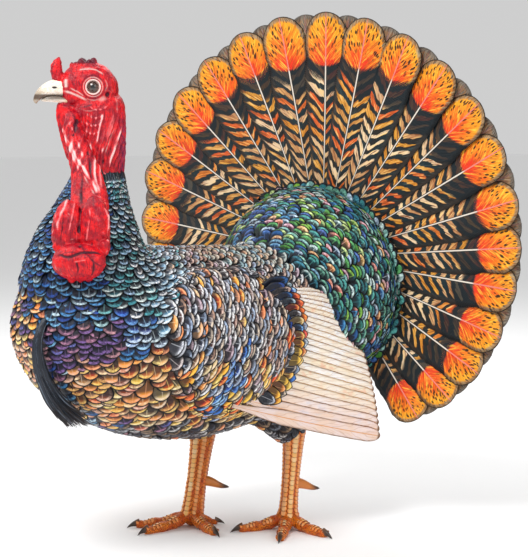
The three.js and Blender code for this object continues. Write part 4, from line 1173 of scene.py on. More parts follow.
# ---- Colours of the coat ----
PAINTS = {
    # the grounds of the feathers, and the paler colours of their rims and barbs, which also serve as
    # painted highlight
    "navy": ("#060c24 #0a1838 #081234 #0e2644 #0c1c50", "#2f6fb4 #4f98d4 #7cb8e0 #2a52a8 #c4e0ec"),
    "teal": (
        "#0c2c34 #14444e #143a5c #0c2a3c #20606c #0a2028",
        "#b4dce0 #e6f4f2 #7cc4c8 #a8c8e8 #4fa4b0",
    ),
    "ice": ("#3c6888 #5c90b0 #1c3c58 #8cb4cc #142840 #4c80a4", "#e8f4f8 #ffffff #bcdcec #d8e8ec"),
    "purple": (
        "#140c24 #28183a #1c122c #361c34 #100e20 #442038",
        "#8c68a8 #b07c98 #6c70b8 #c49098 #7c5c9c",
    ),
    "blue": ("#0e2a78 #1c4aa4 #12309a #2f6cc0 #0c1c48", "#7cb4ec #a8d4f4 #5088dc #dceefa"),
    "bronze": (
        "#b4480f #d8741c #e8902c #8c3814 #c86a3c #a87860 #e0a868 #703020 #c03c18",
        "#ffc878 #ffe0b0 #ffdc7c #ffb080 #f4c8b0",
    ),
    "straw": ("#c8a050 #e0c078 #b87c38 #9c7850 #e8b838 #7c5434", "#fff0c0 #ffe48c #f8e0c4"),
    "mauve": (
        "#3c2834 #4c3840 #302f44 #502420 #6c5c5c #201a26 #5c3c34",
        "#f4e8e4 #ffffff #e8c8b8 #c8a088 #d8c0cc",
    ),
    "wing": (
        "#2c3448 #444a60 #1e2640 #402e28 #585464 #141a2c #4c3c38 #747480",
        "#ffffff #e8ecf4 #e8d4bc #b4c8e4",
    ),
    "back": (
        "#6c7c74 #90705c #4c7078 #a08c78 #8c5c48 #4c7090 #3c4c54",
        "#f0e8d8 #d8e4dc #ecc8a8 #b4d4dc",
    ),
    "black": ("#0a0c12 #14161e #10101a #1e1a22 #2a1c16", "#747c88 #a8acb4 #4c5464 #a08468 #d4d4d4"),
    "rump": (
        "#06282c #0a3c44 #0e5058 #041c28 #14583c #08304a",
        "#5cb0a8 #a8e0d4 #78b8a0 #4c98b0 #d8f0ec #3c8488",
    ),
    "rump_blue": ("#081c40 #0c3068 #124880 #060f2c #103058", "#5098c8 #98d0ec #5c80c8 #cce4f4 #2c6098"),
    "rump_green": ("#1c4420 #2c6424 #123820 #4c7c18 #0c3c2c", "#90c450 #64b46c #d4e89c #4c8c3c"),
    "accent": ("#701810 #984818 #642c40 #886828 #481828", "#ffb8a8 #ffd8a0 #f0c8d8"),
    "gold": ("#d87c10 #f0a020 #c85c14 #e8b83c", "#ffe890 #ffd060 #ffc890"),
    "flame": ("#d83c10 #b82410 #e86418", "#ffb060 #ff8c50"),
    "under": ("#1c1612 #2a1e16 #141216 #3a2618", "#c88850 #e0a868 #9c6034"),
}
PAINTS = {name: tuple(colours(*text.split()) for text in pair) for name, pair in PAINTS.items()}
# Where the breast turns from dark to bronze, in pixels of the picture.
BRONZE_LINE = [(14, 300), (50, 352), (110, 344), (150, 337), (185, 320), (215, 345), (300, 385)]


# Where the coat's colours change, in pixels of the picture: from and to. LEFT and RIGHT, OVER and UNDER
# say on which side the colour lies. A spot has a middle, a width and a height.
RUMP_LIME = ((306, 238), 30, 22)
RUMP_BLUE_LEFT, RUMP_BLUE_UNDER, RUMP_BLUE_LOW = (305, 260), (200, 222), (300, 335)
STRIPE_AT, STRIPE_UNDER = (224, 365), (330, 345)
WARM_UNDER, WARM_LEFT, WARM_LOW = (342, 368), (310, 265), (382, 400)
REAR_RIGHT = (272, 290)
BACK_RIGHT, BACK_OVER = (120, 150), (272, 258)
BRONZE_LEFT, BRONZE_LOWEST = (262, 232), (80, 404)
SHADOW_RIGHT, SHADOW_LEFT, SHADOW_UNDER = (34, 44), (76, 60), (318, 340)
FLANK_LEFT, FLANK_UNDER = (50, 38), (270, 290)
STRAW_RIGHT, BELLY_UNDER = (150, 200), (404, 420)
PURPLE_LEFT, MAUVE_RIGHT = (136, 108), (163, 180)
ICE_AT, ICE_UNDER, ICE_OVER = (154, 290), (238, 252), (350, 330)
BREAST_BLUE = ((130, 322), 30, 20)
TEAL_RIGHT, TEAL_OVER, TEAL_SPOT = (96, 112), (325, 302), ((90, 308), 14, 10)


def hill(a, b, at, wide, high):
    """A soft spot in the picture, 1 in its middle."""
    return np.exp(-(((a - at[0]) / wide) ** 2) - ((b - at[1]) / high) ** 2)


def seen_place(p):
    """Where the picture shows each point, or for what it doesn't show its fellow on the bird's left."""
    q = p.copy()
    own = (p[:, 1] < -330) & (p[:, 0] < 0)
    q[~own, 0] = np.abs(q[~own, 0])
    off = q - VIEW_TARGET
    scale = VIEW_DISTANCE / (VIEW_DISTANCE - off @ VIEW_BACK) / VIEW_SCALE
    return PICTURE[0] / 2 + off @ VIEW_RIGHT * scale, PICTURE[1] / 2 - off @ VIEW_UP * scale


def paint_shares(p, shares):
    """How likely each paint is at each point."""
    a, b = seen_place(p)
    a, b = a + 7 * noise(p, 45, 41), b + 7 * noise(p, 45, 42)
    w = {k: np.zeros(len(p)) for k in PAINTS}
    rump, wing = shares["rump"], shares["wing"]
    lime = 0.75 * hill(a, b, *RUMP_LIME)
    blue = smooth(*RUMP_BLUE_LEFT, a) * smooth(*RUMP_BLUE_UNDER, b) + smooth(*RUMP_BLUE_LOW, b) * 0.5
    blue = np.clip(blue, 0, 1) * (1 - lime)
    w["accent"] += rump * 0.1
    w["rump_green"] += rump * 0.9 * (0.1 + lime)
    w["rump_blue"] += rump * 0.9 * (0.12 + 0.76 * blue)
    w["rump"] += rump * 0.9 * np.clip(0.9 - lime - 0.76 * blue, 0, 1)
    w["under"] += shares["undertail"]

    stripe = bell(a - STRIPE_AT[0] + 0.35 * (b - STRIPE_AT[1]), 8) * smooth(*STRIPE_UNDER, b)
    warm = smooth(*WARM_UNDER, b) * smooth(*WARM_LEFT, a) * 0.6 + smooth(*WARM_LOW, b) * 0.4
    warm = np.clip(warm, 0, 1) * (1 - stripe)
    rear = 0.45 * smooth(*REAR_RIGHT, a) * (1 - warm)
    w["blue"] += wing * stripe
    w["gold"] += wing * warm * 0.45
    w["straw"] += wing * warm * 0.35
    w["flame"] += wing * (warm * 0.2 + rear * 0.35)
    w["navy"] += wing * rear * 0.3
    rest = wing * np.clip(1 - stripe - warm - 0.65 * rear, 0, 1)
    w["bronze"] += rest * 0.1
    w["mauve"] += rest * 0.36
    w["wing"] += rest * 0.54

    dark = shares["thigh"] + shares["belly"]
    left = np.clip(1 - rump - shares["undertail"] - wing - dark, 0, 1)
    w["black"] += dark * 0.9
    w["bronze"] += dark * 0.1
    back = shares["back"] * smooth(*BACK_RIGHT, a) * smooth(*BACK_OVER, b)
    w["back"] += back
    left = np.clip(left - back, 0, 1)

    def lay(share, **parts):
        """Paints a share of what is left with the parts named."""
        nonlocal left
        for name, part in parts.items():
            w[name] += left * share * part
        left = left * (1 - share)

    line = np.interp(a, *zip(*BRONZE_LINE))
    lower = BRONZE_LOWEST[1] + 0.14 * (a - BRONZE_LOWEST[0])
    bronze = smooth(line - 7, line + 12, b) * smooth(lower + 10, lower - 6, b) * smooth(*BRONZE_LEFT, a)
    # A dark band runs down beside the beard.
    shadow = 0.85 * smooth(*SHADOW_RIGHT, a) * smooth(*SHADOW_LEFT, a) * smooth(*SHADOW_UNDER, b)
    flank = 0.45 * smooth(*FLANK_LEFT, a) * smooth(*FLANK_UNDER, b)
    straw = 0.4 * smooth(*STRAW_RIGHT, a)
    lay(np.maximum(bronze * (1 - shadow), flank), bronze=0.85 - straw, straw=0.15 + straw)
    lay(smooth(*BELLY_UNDER, b), black=0.7, purple=0.3)
    lay(0.55 * smooth(line + 10, line + 34, b), black=1)
    purple = smooth(line - 44, line - 24, b) * smooth(line + 34, line + 10, b) * smooth(*PURPLE_LEFT, a)
    lay(0.9 * purple, purple=1)
    lay(smooth(*MAUVE_RIGHT, a), mauve=0.65, wing=0.35)
    ice = 0.9 * bell(a - ICE_AT[0] - 0.12 * (b - ICE_AT[1]), 14)
    lay(ice * smooth(*ICE_UNDER, b) * smooth(*ICE_OVER, b), ice=1)
    lay(0.85 * hill(a, b, *BREAST_BLUE), blue=1)
    teal = smooth(*TEAL_RIGHT, a) * smooth(*TEAL_OVER, b)
    lay(np.maximum(teal, 0.25 * hill(a, b, *TEAL_SPOT)), teal=0.8, ice=0.2)
    w["navy"] += left
    return w


def painted(p, shares):
    """A ground and a rim colour for each feather."""
    w = paint_shares(p, shares)
    names = list(PAINTS)
    table = np.cumsum(np.stack([w[k] for k in names], 1), axis=1)
    draw = rng.random(len(p)) * table[:, -1]
    which = (draw[:, None] > table).sum(1)
    tint, rim = np.empty((len(p), 3)), np.empty((len(p), 3))
    for k, name in enumerate(names):
        own = which == k
        grounds, rims = PAINTS[name]
        tint[own] = grounds[rng.integers(len(grounds), size=own.sum())]
        rim[own] = rims[rng.integers(len(rims), size=own.sum())]
    shade = rng.uniform(0.75, 1.25, (len(p), 1))
    return np.clip(tint * shade, 0, 1), rim


def coat_shade_colour(p, n):
    """The mean colour of the feathers there, darkened as painted shade, for the skin that shows under
    them.
    """
    w = paint_shares(p, region_shares(p, n))
    total = sum(w.values())
    mean = sum(w[k][:, None] * PAINTS[k][0].mean(0) for k in PAINTS) / np.maximum(total, 1e-6)[:, None]
    return mean * 0.22


def unwrapped(p, region):
    """A place from 0 to 1 for each root on an unwrap of the skin's own shape."""
    if region in ("rump", "undertail"):
        f = in_fan(p) - vec(DOME_LEFT, DOME_UP, 0)
        depth = np.abs(f[:, 2]) / 100
        flat = np.hypot(f[:, 0], f[:, 1])
        reach = np.arctan2(flat / 170, depth) / np.pi * 0.95
        return 0.5 + np.stack([f[:, 0], f[:, 1]], 1) / np.maximum(flat, 1e-6)[:, None] * reach[:, None]
    if region == "thigh":
        side = (p[:, 0] > 0).astype(float)
        centre = np.where(side[:, None] > 0, vec(70, 36), vec(-54, -58))
        angle = np.arctan2(p[:, 0] - centre[:, 0], p[:, 1] - centre[:, 1]) / (2 * np.pi) + 0.5
        up = np.clip((p[:, 2] - 110) / 150, 0.01, 0.99)
        return np.stack([0.01 + 0.48 * angle + 0.5 * side, up], 1)
    if region in ("neck", "neck_top"):
        angle = np.arctan2(p[:, 0], p[:, 1] + 300) / (2 * np.pi) + 0.5
        return np.stack([0.01 + 0.98 * angle, np.clip((p[:, 2] - 400) / 260, 0.01, 0.99)], 1)
    u, _ = along_trunk(p)
    angle = np.arctan2(p[:, 2] - axis_height(u), p[:, 0]) / (2 * np.pi) + 0.5
    return np.stack([0.01 + 0.98 * angle, np.clip(0.05 + 0.86 * u, 0.01, 0.99)], 1)


# ---- Materials ----
class Shader:
    """A small way to write a node material: every method returns a socket."""

    def __init__(self, name):
        self.material = bpy.data.materials.new(name)
        self.material.use_nodes = True
        self.tree = self.material.node_tree
        self.tree.nodes.clear()
        self.out = self.tree.nodes.new("ShaderNodeOutputMaterial")
        self.surface = self.tree.nodes.new("ShaderNodeBsdfPrincipled")
        self.tree.links.new(self.surface.outputs[0], self.out.inputs[0])

    def feed(self, socket, value):
        if isinstance(value, bpy.types.NodeSocket):
            self.tree.links.new(value, socket)
        elif isinstance(value, (int, float)):
            socket.default_value = value
        else:
            socket.default_value = list(value) + [1.0] * (len(socket.default_value) - len(value))

    def fed(self, kind, values, **settings):
        """A node with these settings, its sockets fed by number or name."""
        node = self.tree.nodes.new("ShaderNode" + kind)
        for key, setting in settings.items():
            setattr(node, key, setting)
        for key, value in values.items():
            self.feed(node.inputs[key], value)
        return node

    def math(self, operation, a, b=0.0):
        return self.fed("Math", {0: a, 1: b}, operation=operation).outputs[0]

    def add(self, a, b):
        return self.math("ADD", a, b)

    def times(self, a, b):
        return self.math("MULTIPLY", a, b)

    def sway(self, noise, amount):
        """A noise of 0 to 1 made to swing about 0."""
        return self.times(self.add(noise, -0.5), amount)

    def clamp(self, x):
        return self.fed("Clamp", {0: x}).outputs[0]

    def step(self, a, b, x):
        """Smoothly 0 to 1 as x goes from a to b."""
        ends = dict(enumerate((x, a, b, 0.0, 1.0)))
        return self.fed("MapRange", ends, interpolation_type="SMOOTHSTEP").outputs[0]

    def blend(self, share, a, b):
        settings = dict(data_type="RGBA", blend_type="MIX", clamp_factor=True)
        return self.fed("Mix", {0: share, 6: a, 7: b}, **settings).outputs[2]

    def layers(self, colour, *rows):
        """Colours laid over each other: rows of (share, colour), or (x, from, to, amount, colour)."""
        for share, *limits, over in rows:
            if limits:
                start, end, amount = limits
                share = self.step(start, end, share)
                share = share if amount == 1 else self.times(share, amount)
            colour = self.blend(share, colour, over)
        return colour

    def read(self, name, kind="Fac"):
        return self.fed("Attribute", {}, attribute_name=name).outputs[kind]

    def split(self, vector):
        return self.fed("SeparateXYZ", {0: vector}).outputs

    def vector(self, x, y, z):
        return self.fed("CombineXYZ", {0: x, 1: y, 2: z}).outputs[0]

    def object_place(self, scale=1.0):
        """The piece's own coordinates, in metres, which don't move with the camera."""
        place = self.fed("TexCoord", {}).outputs["Object"]
        return self.fed("VectorMath", {0: place, 1: [scale] * 3}, operation="MULTIPLY").outputs[0]

    def noise(self, vector, scale, detail=2.0, rough=0.5):
        values = {"Vector": vector, "Scale": scale, "Detail": detail, "Roughness": rough}
        return self.fed("TexNoise", values).outputs["Fac"]

    def grain(self, across, along, own, detail=2.0, rough=0.5):
        """Noise stretched by (socket, scale) pairs, with a number of its own for each feather."""
        return self.noise(self.vector(self.times(*across), self.times(*along), own), 1.0, detail, rough)

    def cells(self, vector, scale, feature="F1"):
        node = self.fed("TexVoronoi", {"Vector": vector, "Scale": scale}, feature=feature)
        return node.outputs["Distance"]

    def random(self, value):
        return self.fed("TexWhiteNoise", {1: value}, noise_dimensions="1D").outputs[0]

    def outline(self, u, v, tip_from):
        """How near the outline of a vane, whose tip from `tip_from` on is half of an ellipse."""
        over = self.clamp(self.times(self.add(v, -tip_from), 1 / (1 - tip_from)))
        u2, o2 = self.times(u, u), self.times(over, over)
        return self.math("SQRT", self.add(self.add(u2, o2), self.times(self.times(u2, o2), -1.0)))

    def bump(self, height, distance, strength=1.0):
        node = self.fed("Bump", {"Strength": strength, "Distance": distance, "Height": height})
        self.tree.links.new(node.outputs[0], self.surface.inputs["Normal"])

    def finish(self, colour, roughness=0.5, **fixed):
        self.feed(self.surface.inputs["Base Color"], colour)
        self.feed(self.surface.inputs["Roughness"], roughness)
        for key, value in fixed.items():
            self.surface.inputs[key.replace("_", " ")].default_value = value
        return self.material


def barbs(s):
    """Across, along, number and a coordinate that runs along the barbs of a feather."""
    u, v, seed = s.split(s.read("vane", "Vector"))
    wide = s.math("ABSOLUTE", u)
    barb = s.add(v, s.times(wide, -0.16))
    return u, wide, v, seed, barb


VANE_BLACK = (0.003, 0.004, 0.008)
# painted shade on the covered part of a vane, under the feather that overlaps it
VANE_PAINTED_SHADE = (0.005, 0.006, 0.011)
FEATHER_GLOSS = 0.3


def coat_material(name, metallic, roughness):
    """Feathers with a dark edge and a pale band inside it, streaked along the barbs, the band and
    streaks partly their own pale edging and partly painted highlight; painted shade darkens each vane
    towards its root, under the feather that overlaps it.
    """
    s = Shader(name)
    u, wide, v, seed, barb = barbs(s)
    own = s.times(seed, 57.0)
    fine = s.grain((u, 1.3), (barb, 30.0), own, 2.0, 0.6)
    broad = s.grain((u, 2.2), (barb, 6.0), own, 1.0)
    ground, rim = s.read("tint", "Color"), s.read("rim", "Color")
    streak = s.step(0.44, 0.62, s.add(s.times(fine, 0.6), s.times(broad, 0.4)))
    edge = s.add(s.outline(u, v, TIP_FROM), s.sway(fine, 0.12))
    band = s.times(s.step(0.54, 0.68, edge), s.step(0.3, 0.6, v))
    shaft = s.times(s.step(0.06, 0.02, wide), s.step(0.95, 0.85, v))
    colour = s.layers(
        ground,
        # streaks and a band in the rim colour: partly the feathers' own pale edging, partly painted
        # highlight
        (s.times(streak, 0.24), rim),
        (s.times(band, s.add(0.34, s.times(streak, 0.66))), rim),
        # painted shade towards the root, where the next feather lies over this one
        (v, 0.86, 0.64, 0.86, VANE_PAINTED_SHADE),
        (s.times(shaft, 0.35), rim),
        (edge, 0.83, 0.9, 1, VANE_BLACK),
    )
    s.bump(s.add(s.times(s.math("SINE", s.times(barb, 150.0)), 0.5), s.times(shaft, 2.0)), 0.0002, 0.6)
    return s.finish(colour, roughness, Metallic=metallic, Specular_IOR_Level=FEATHER_GLOSS)


TAIL_TIP = 0.13  # the rounded end of a tail feather, as a share of its length
TAIL_BRIGHT_FROM = 0.765  # the bright tip of a tail feather begins here
TAIL_BARS = 20.0  # along a tail feather


def tail_bars(s, u, wide, v, seed, own, steep, fine, right):
    """The dark vane with its curved orange and cream bars."""
    patch = s.grain((u, 1.6), (steep, 9.0), own)
    # The bars curve up to the edges of the vane.
    curved = s.add(v, s.times(s.math("POWER", wide, 1.3), -0.08))
    chevron = s.add(s.times(curved, TAIL_BARS), s.sway(fine, 0.45))
    chevron = s.add(chevron, s.add(s.times(right, 0.37), s.times(patch, 1.3)))
    wave = s.math("SINE", s.times(chevron, 2 * math.pi))
    # The bars are broader on one side of the shaft, and thin out towards both edges of the vane.
    level = s.add(s.add(-0.1, s.times(right, 0.4)), s.times(s.step(0.6, 0.9, wide), 1.1))
    bar = s.step(-0.22, 0.12, s.add(wave, s.times(level, -1.0)))
    feather = s.math("FLOOR", s.times(seed, 400.0))
    number = s.random(s.add(s.math("FLOOR", s.add(chevron, 0.25)), feather))
    orange = s.layers(
        (0.7, 0.09, 0.01),
        (number, 0.1, 0.3, 1, (0.66, 0.28, 0.02)),
        (number, 0.3, 0.62, 1, (0.5, 0.24, 0.1)),
        (number, 0.66, 0.9, 1, (0.86, 0.66, 0.42)),
        (fine, 0.5, 0.7, 1, (0.93, 0.6, 0.2)),
        (fine, 0.5, 0.36, 1, (0.26, 0.07, 0.012)),
    )
    dark = s.layers(
        (0.004, 0.017, 0.022),
        (patch, 0.4, 0.62, 1, (0.012, 0.01, 0.008)),
        (fine, 0.56, 0.7, 0.45, (0.07, 0.12, 0.12)),
    )
    grey_edge = s.step(0.72, 0.95, s.add(wide, s.sway(fine, 0.3)))
    return s.layers(dark, (bar, orange), (s.times(grey_edge, 0.6), (0.07, 0.055, 0.045)))


def tail_glow(s, u, wide, v, own, steep, fine):
    """The tip: red-orange flames from its base, yellow further out, with short dark dashes."""
    beyond = s.times(s.add(v, -TAIL_BRIGHT_FROM), 4.2)
    out = s.add(beyond, s.times(wide, 0.5))
    out = s.add(out, s.sway(s.grain((u, 5.0), (steep, 22.0), own, 2.0, 0.6), 1.1))
    dash = s.cells(s.vector(s.times(u, 6.5), s.times(steep, 44.0), own), 1.0)
    far = s.step(0.25, 0.6, s.add(beyond, s.times(wide, 0.35)))
    edge = s.outline(u, v, 1 - TAIL_TIP)
    rim = s.step(0.8, 0.9, s.add(edge, s.sway(fine, 0.22)))
    rim_colour = s.layers((0.08, 0.06, 0.04), (fine, 0.4, 0.6, 1, (0.3, 0.24, 0.17)))
    return s.layers(
        (0.8, 0.03, 0.006),
        (out, 0.15, 0.6, 1, (0.9, 0.15, 0.006)),
        (out, 0.45, 1.05, 1, (0.86, 0.34, 0.012)),
        (fine, 0.54, 0.64, 0.7, (1.0, 0.62, 0.06)),
        (fine, 0.46, 0.38, 0.6, (0.42, 0.07, 0.006)),
        (s.times(s.times(s.step(0.4, 0.28, dash), far), 0.95), (0.012, 0.006, 0.003)),
        (s.times(rim, 0.8), rim_colour),
        (edge, 0.94, 0.99, 1, (0.02, 0.014, 0.01)),
    )


def tail_material(name, grey):
    """Barred vanes with a dark band and a bright, speckled tip; the rear row is greyer."""
    s = Shader(name)
    u, wide, v, seed, _ = barbs(s)
    own = s.times(seed, 91.0)
    steep = s.add(v, s.times(s.math("POWER", wide, 0.8), -0.13))  # runs along the barbs
    fine = s.grain((u, 2.0), (steep, 95.0), own, 3.0, 0.65)
    right = s.math("GREATER_THAN", u, 0.0)
    vane = tail_bars(s, u, wide, v, seed, own, steep, fine, right)
    # The bright tip begins in a curve, a little further out or in on each feather, after a dark band.
    tip_line = s.add(s.add(v, s.times(s.times(wide, wide), -0.05)), s.sway(fine, 0.035))
    tip_line = s.add(tip_line, s.sway(s.random(s.times(seed, 53.0)), 0.035))
    band_line = s.add(tip_line, s.times(right, 0.06))
    tip = s.step(TAIL_BRIGHT_FROM, TAIL_BRIGHT_FROM + 0.012, tip_line)
    shaft = s.step(0.036, 0.02, wide)
    shaft_edge = s.times(s.step(0.075, 0.045, wide), s.add(1.0, s.times(tip, -1.0)))
    colour = s.layers(
        vane,
        (band_line, TAIL_BRIGHT_FROM - 0.07, TAIL_BRIGHT_FROM - 0.05, 0.93, (0.004, 0.01, 0.014)),
        (tip, tail_glow(s, u, wide, v, own, steep, fine)),
        (shaft_edge, (0.01, 0.008, 0.006)),
        (shaft, s.blend(tip, (0.8, 0.72, 0.62), (0.8, 0.22, 0.18))),
    )
    if grey:
        greys = s.layers((0.055, 0.05, 0.045), (fine, 0.4, 0.65, 1, (0.24, 0.22, 0.19)))
        colour = s.blend(0.8, colour, greys)
    s.bump(s.add(s.math("SINE", s.times(steep, 620.0)), s.times(shaft, 3.0)), 0.0003, 0.55)
    return s.finish(colour, 0.5, Specular_IOR_Level=FEATHER_GLOSS)


def flight_material():
    """Pale vanes with thin brown edges and faint bars."""
    s = Shader("wing_flight")
    u, wide, v, seed, barb = barbs(s)
    own = s.times(seed, 77.0)
    fine = s.grain((u, 1.4), (barb, 70.0), own, 3.0, 0.6)
    patch = s.grain((u, 0.8), (v, 8.0), own)
    tone = s.random(s.times(seed, 31.0))
    blot = s.times(s.step(0.58, 0.7, patch), s.step(0.45, 0.2, tone))
    pink = s.times(s.step(0.42, 0.3, patch), s.step(0.5, 0.7, tone))
    bars = s.math("SINE", s.add(s.times(barb, 60.0), s.times(patch, 12.0)))
    shaft = s.step(0.09, 0.04, wide)
    edge = s.step(0.84, 0.96, s.add(wide, s.sway(fine, 0.25)))
    edge = s.times(edge, s.add(0.45, s.times(s.step(0.42, 0.55, patch), 0.55)))  # heavier here and there
    edge_colour = s.layers((0.36, 0.14, 0.05), (tone, 0.4, 0.7, 1, (0.8, 0.42, 0.14)))
    cream = s.layers(
        (0.98, 0.88, 0.72),
        (patch, 0.35, 0.65, 1, (1.0, 0.99, 0.96)),
        (tone, 0.62, 0.8, 0.4, (0.96, 0.74, 0.4)),
        (s.times(s.read("tint", "Fac"), 0.35), (0.66, 0.22, 0.16)),
        (fine, 0.56, 0.66, 0.4, (0.66, 0.34, 0.2)),
        (fine, 0.42, 0.34, 0.35, (0.5, 0.52, 0.62)),
        (s.times(blot, 0.4), (0.62, 0.64, 0.76)),
        (s.times(pink, 0.6), (0.9, 0.48, 0.3)),
        (bars, 0.86, 0.98, 0.35, (0.5, 0.26, 0.14)),
        (s.times(shaft, 0.8), (0.72, 0.3, 0.08)),
        (edge, edge_colour),
        (v, 0.975, 0.992, 1, (0.2, 0.09, 0.04)),
    )
    s.bump(s.add(s.math("SINE", s.times(barb, 420.0)), s.times(shaft, 3.0)), 0.0002, 0.5)
    return s.finish(cream, 0.55, Specular_IOR_Level=FEATHER_GLOSS)


MM_PER_M = 1000.0
PURPLE_SHADE_FROM = MOVED[1] - 290  # painted purple shade on the bare neck begins behind this
# painted highlights for the crests of the folds of the bare skin
FOLD_HIGHLIGHT_RED, FOLD_HIGHLIGHT_WHITE = (0.92, 0.16, 0.17), (0.96, 0.66, 0.64)


def skin_material():
    """Red wrinkled skin with painted highlights on its folds and painted shade in its creases, scaled
    orange legs, and the skin under the feathers painted dark as shade, as the zone says.
    """
    s = Shader("skin")
    bare, leg, ridge = s.split(s.read("zone", "Vector"))
    shade = s.read("pale")
    place = s.object_place(MM_PER_M)
    grain = s.noise(place, 0.5, 4.0, 0.65)
    blotch = s.noise(place, 0.07, 3.0)
    x, y, z = s.split(place)
    line_noise = s.grain((x, 0.5), (y, 0.5), s.times(z, 0.11), 3.0)
    fold = s.add(ridge, s.sway(grain, 0.7))
    # Painted shade, dark purple, down the back of the bare neck.
    rear = s.times(s.step(PURPLE_SHADE_FROM, PURPLE_SHADE_FROM + 22, y), s.step(725.0, 660.0, z))
    red = s.layers(
        (0.34, 0.0, 0.012),
        (blotch, 0.36, 0.66, 1, (0.76, 0.003, 0.008)),
        (s.times(rear, s.step(0.35, 0.65, line_noise)), (0.13, 0.02, 0.12)),
        # dark lines of painted shade, standing for fine creases
        (line_noise, 0.54, 0.66, 0.8, (0.16, 0.0, 0.014)),
        (line_noise, 0.4, 0.28, 0.3, (0.92, 0.16, 0.16)),
        # painted highlights on the crests of the folds, painted shade in the creases
        (fold, 0.5, 1.3, 0.8, FOLD_HIGHLIGHT_RED),
        (fold, 1.1, 2.2, 0.85, FOLD_HIGHLIGHT_WHITE),
        (fold, -0.3, -1.3, 1, (0.07, 0.0, 0.01)),
        # pale and dark paint from the head: its own pale and dark skin, with painted highlights on fold
        # crests and painted shade in creases, under the jaw and round the wattle
        (shade, 0.0, 1.0, 0.9, (0.92, 0.72, 0.66)),
        (shade, 0.0, -1.0, 0.94, (0.045, 0.0, 0.012)),
    )
    pores = s.cells(place, 0.75)
    scale = s.cells(place, 0.36, "DISTANCE_TO_EDGE")
    orange = s.layers(
        (0.66, 0.1, 0.006),
        (blotch, 0.3, 0.7, 1, (0.86, 0.24, 0.012)),
        (scale, 0.12, 0.02, 1, (0.12, 0.015, 0.004)),
    )
    colour = s.layers(s.read("tint", "Color"), (bare, red), (leg, orange))
    relief = s.add(s.times(s.math("MINIMUM", scale, 0.15), 3.0), s.times(pores, 0.35))
    s.bump(s.add(relief, s.times(grain, 0.8)), 0.0006, 0.5)
    soft = dict(Subsurface_Weight=0.04, Subsurface_Radius=(0.006, 0.002, 0.001), Subsurface_Scale=0.4)
    return s.finish(colour, 0.42, Specular_IOR_Level=0.35, **soft)


# ---- The skin's zones ----
def matched(points, tree_points, reach=0.02):
    """For each point, the index of the point of another set that lies there, or -1."""
    tree = point_tree(tree_points)
    found = [tree.find(p) for p in points]
    return np.array([i if distance < reach else -1 for _, i, distance in found])


def finish_skin():
    mesh = body.data
    points, normals = read(mesh), normals_of(mesh)
    zone = np.zeros((len(points), 3))
    paleness = np.zeros(len(points))
    tint = np.zeros((len(points), 3))
    upper = np.where((points[:, 2] > 420) & (points[:, 1] < -200))[0]
    index = matched(points[upper], head_points)
    own = index >= 0
    zone[upper[own], 0] = 1
    # how raised the skin is, for its painted highlights and painted shade
    zone[upper[own], 2] = raised[index[own]]
    paleness[upper[own]] = pale[index[own]]
    lower = np.where(points[:, 2] < 200)[0]
    on_leg = inside(points[lower], leg_tree, 0.05)
    zone[lower[on_leg], 1] = 1
    rest = (zone[:, 0] == 0) & (zone[:, 1] == 0)
    # painted shade: the skin under the coat is coloured as the darkened feathers
    tint[rest] = coat_shade_colour(points[rest], normals[rest])
    for key, values in (("zone", zone), ("pale", paleness), ("tint", tint)):
        give(mesh, key, values)
    mesh.polygons.foreach_set("use_smooth", np.ones(len(mesh.polygons), bool))


def dress(obj, material, slot, *nodes):
    """Gives a piece its material and body, and the solids that it stands for; `slot` is not used."""
    obj.data.materials.clear()
    obj.data.materials.append(material)
    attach(obj, BODY)
    if nodes:
        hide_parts(*nodes)
    return obj


finish_skin()
for other in (head, legs):
    remove(other)
SIDES = ("left", "right")
FLESH = ["torso", "neck_feathered", "head", "neck_bare", "wattle", "snood"]
FLESH += [f"{part}_{side}" for part in ("thigh", "shank", "foot") for side in SIDES]
dress(body, skin_material(), "skin", *FLESH)


# ---- The coat ----
def lower_front(path, region):
    """Keeps the feathers at the root of the fan on their own side of it."""
    f = in_fan(path.reshape(-1, 3))
    if region == "rump":
        f[:, 2] = np.maximum(f[:, 2], 12)
    else:
        f[:, 2] = np.minimum(f[:, 2], -11)
    return (TAIL_ROOT + f @ FAN_TURN.T).reshape(path.shape)


COLLAR_TIERS = ((622, 20), (615, 21), (608, 22), (600, 23))  # height and drop of each
COLLAR_COUNT, COLLAR_REACH, COLLAR_HALF = 64, 66, 5.6
NECK_MIDDLE = vec(0, -296, 0)


def collar():
    """Small feathers round the lower edge of the bare neck, that hide where the skin turns red."""
    skin_tree = tree_of(body)
    roots, tips = [], []
    for tier, (top, drop) in enumerate(COLLAR_TIERS):
        for k in range(COLLAR_COUNT):
            turn = 2 * math.pi * (k + 0.5 * (tier % 2)) / COLLAR_COUNT + rng.uniform(-0.02, 0.02)
            way = vec(math.sin(turn), math.cos(turn), 0)
            ends = []
            root_z = top + rng.uniform(-3, 3)
            tip_z = top - drop + rng.uniform(-2, 2)
            for z, out in ((root_z, -1.0), (tip_z, 3.2 + 0.3 * tier)):
                end = struck(skin_tree, NECK_MIDDLE + way * 150 + vec(0, 0, z), -way)
                ends.append(None if end is None else end + way * out)
            if any(e is None for e in ends):
                continue
            reach = [np.linalg.norm((e - NECK_MIDDLE)[:2]) for e in ends]
            if max(reach) > COLLAR_REACH or reach[0] > reach[1] + 4:
                continue  # the wattle hangs here
            roots.append(ends[0])
            tips.append(ends[1])
    return np.array(roots), np.array(tips)


def only(region, count):
    """Shares for feathers that all belong to one region."""
    return {k: np.full(count, float(k == region)) for k in SIZES}


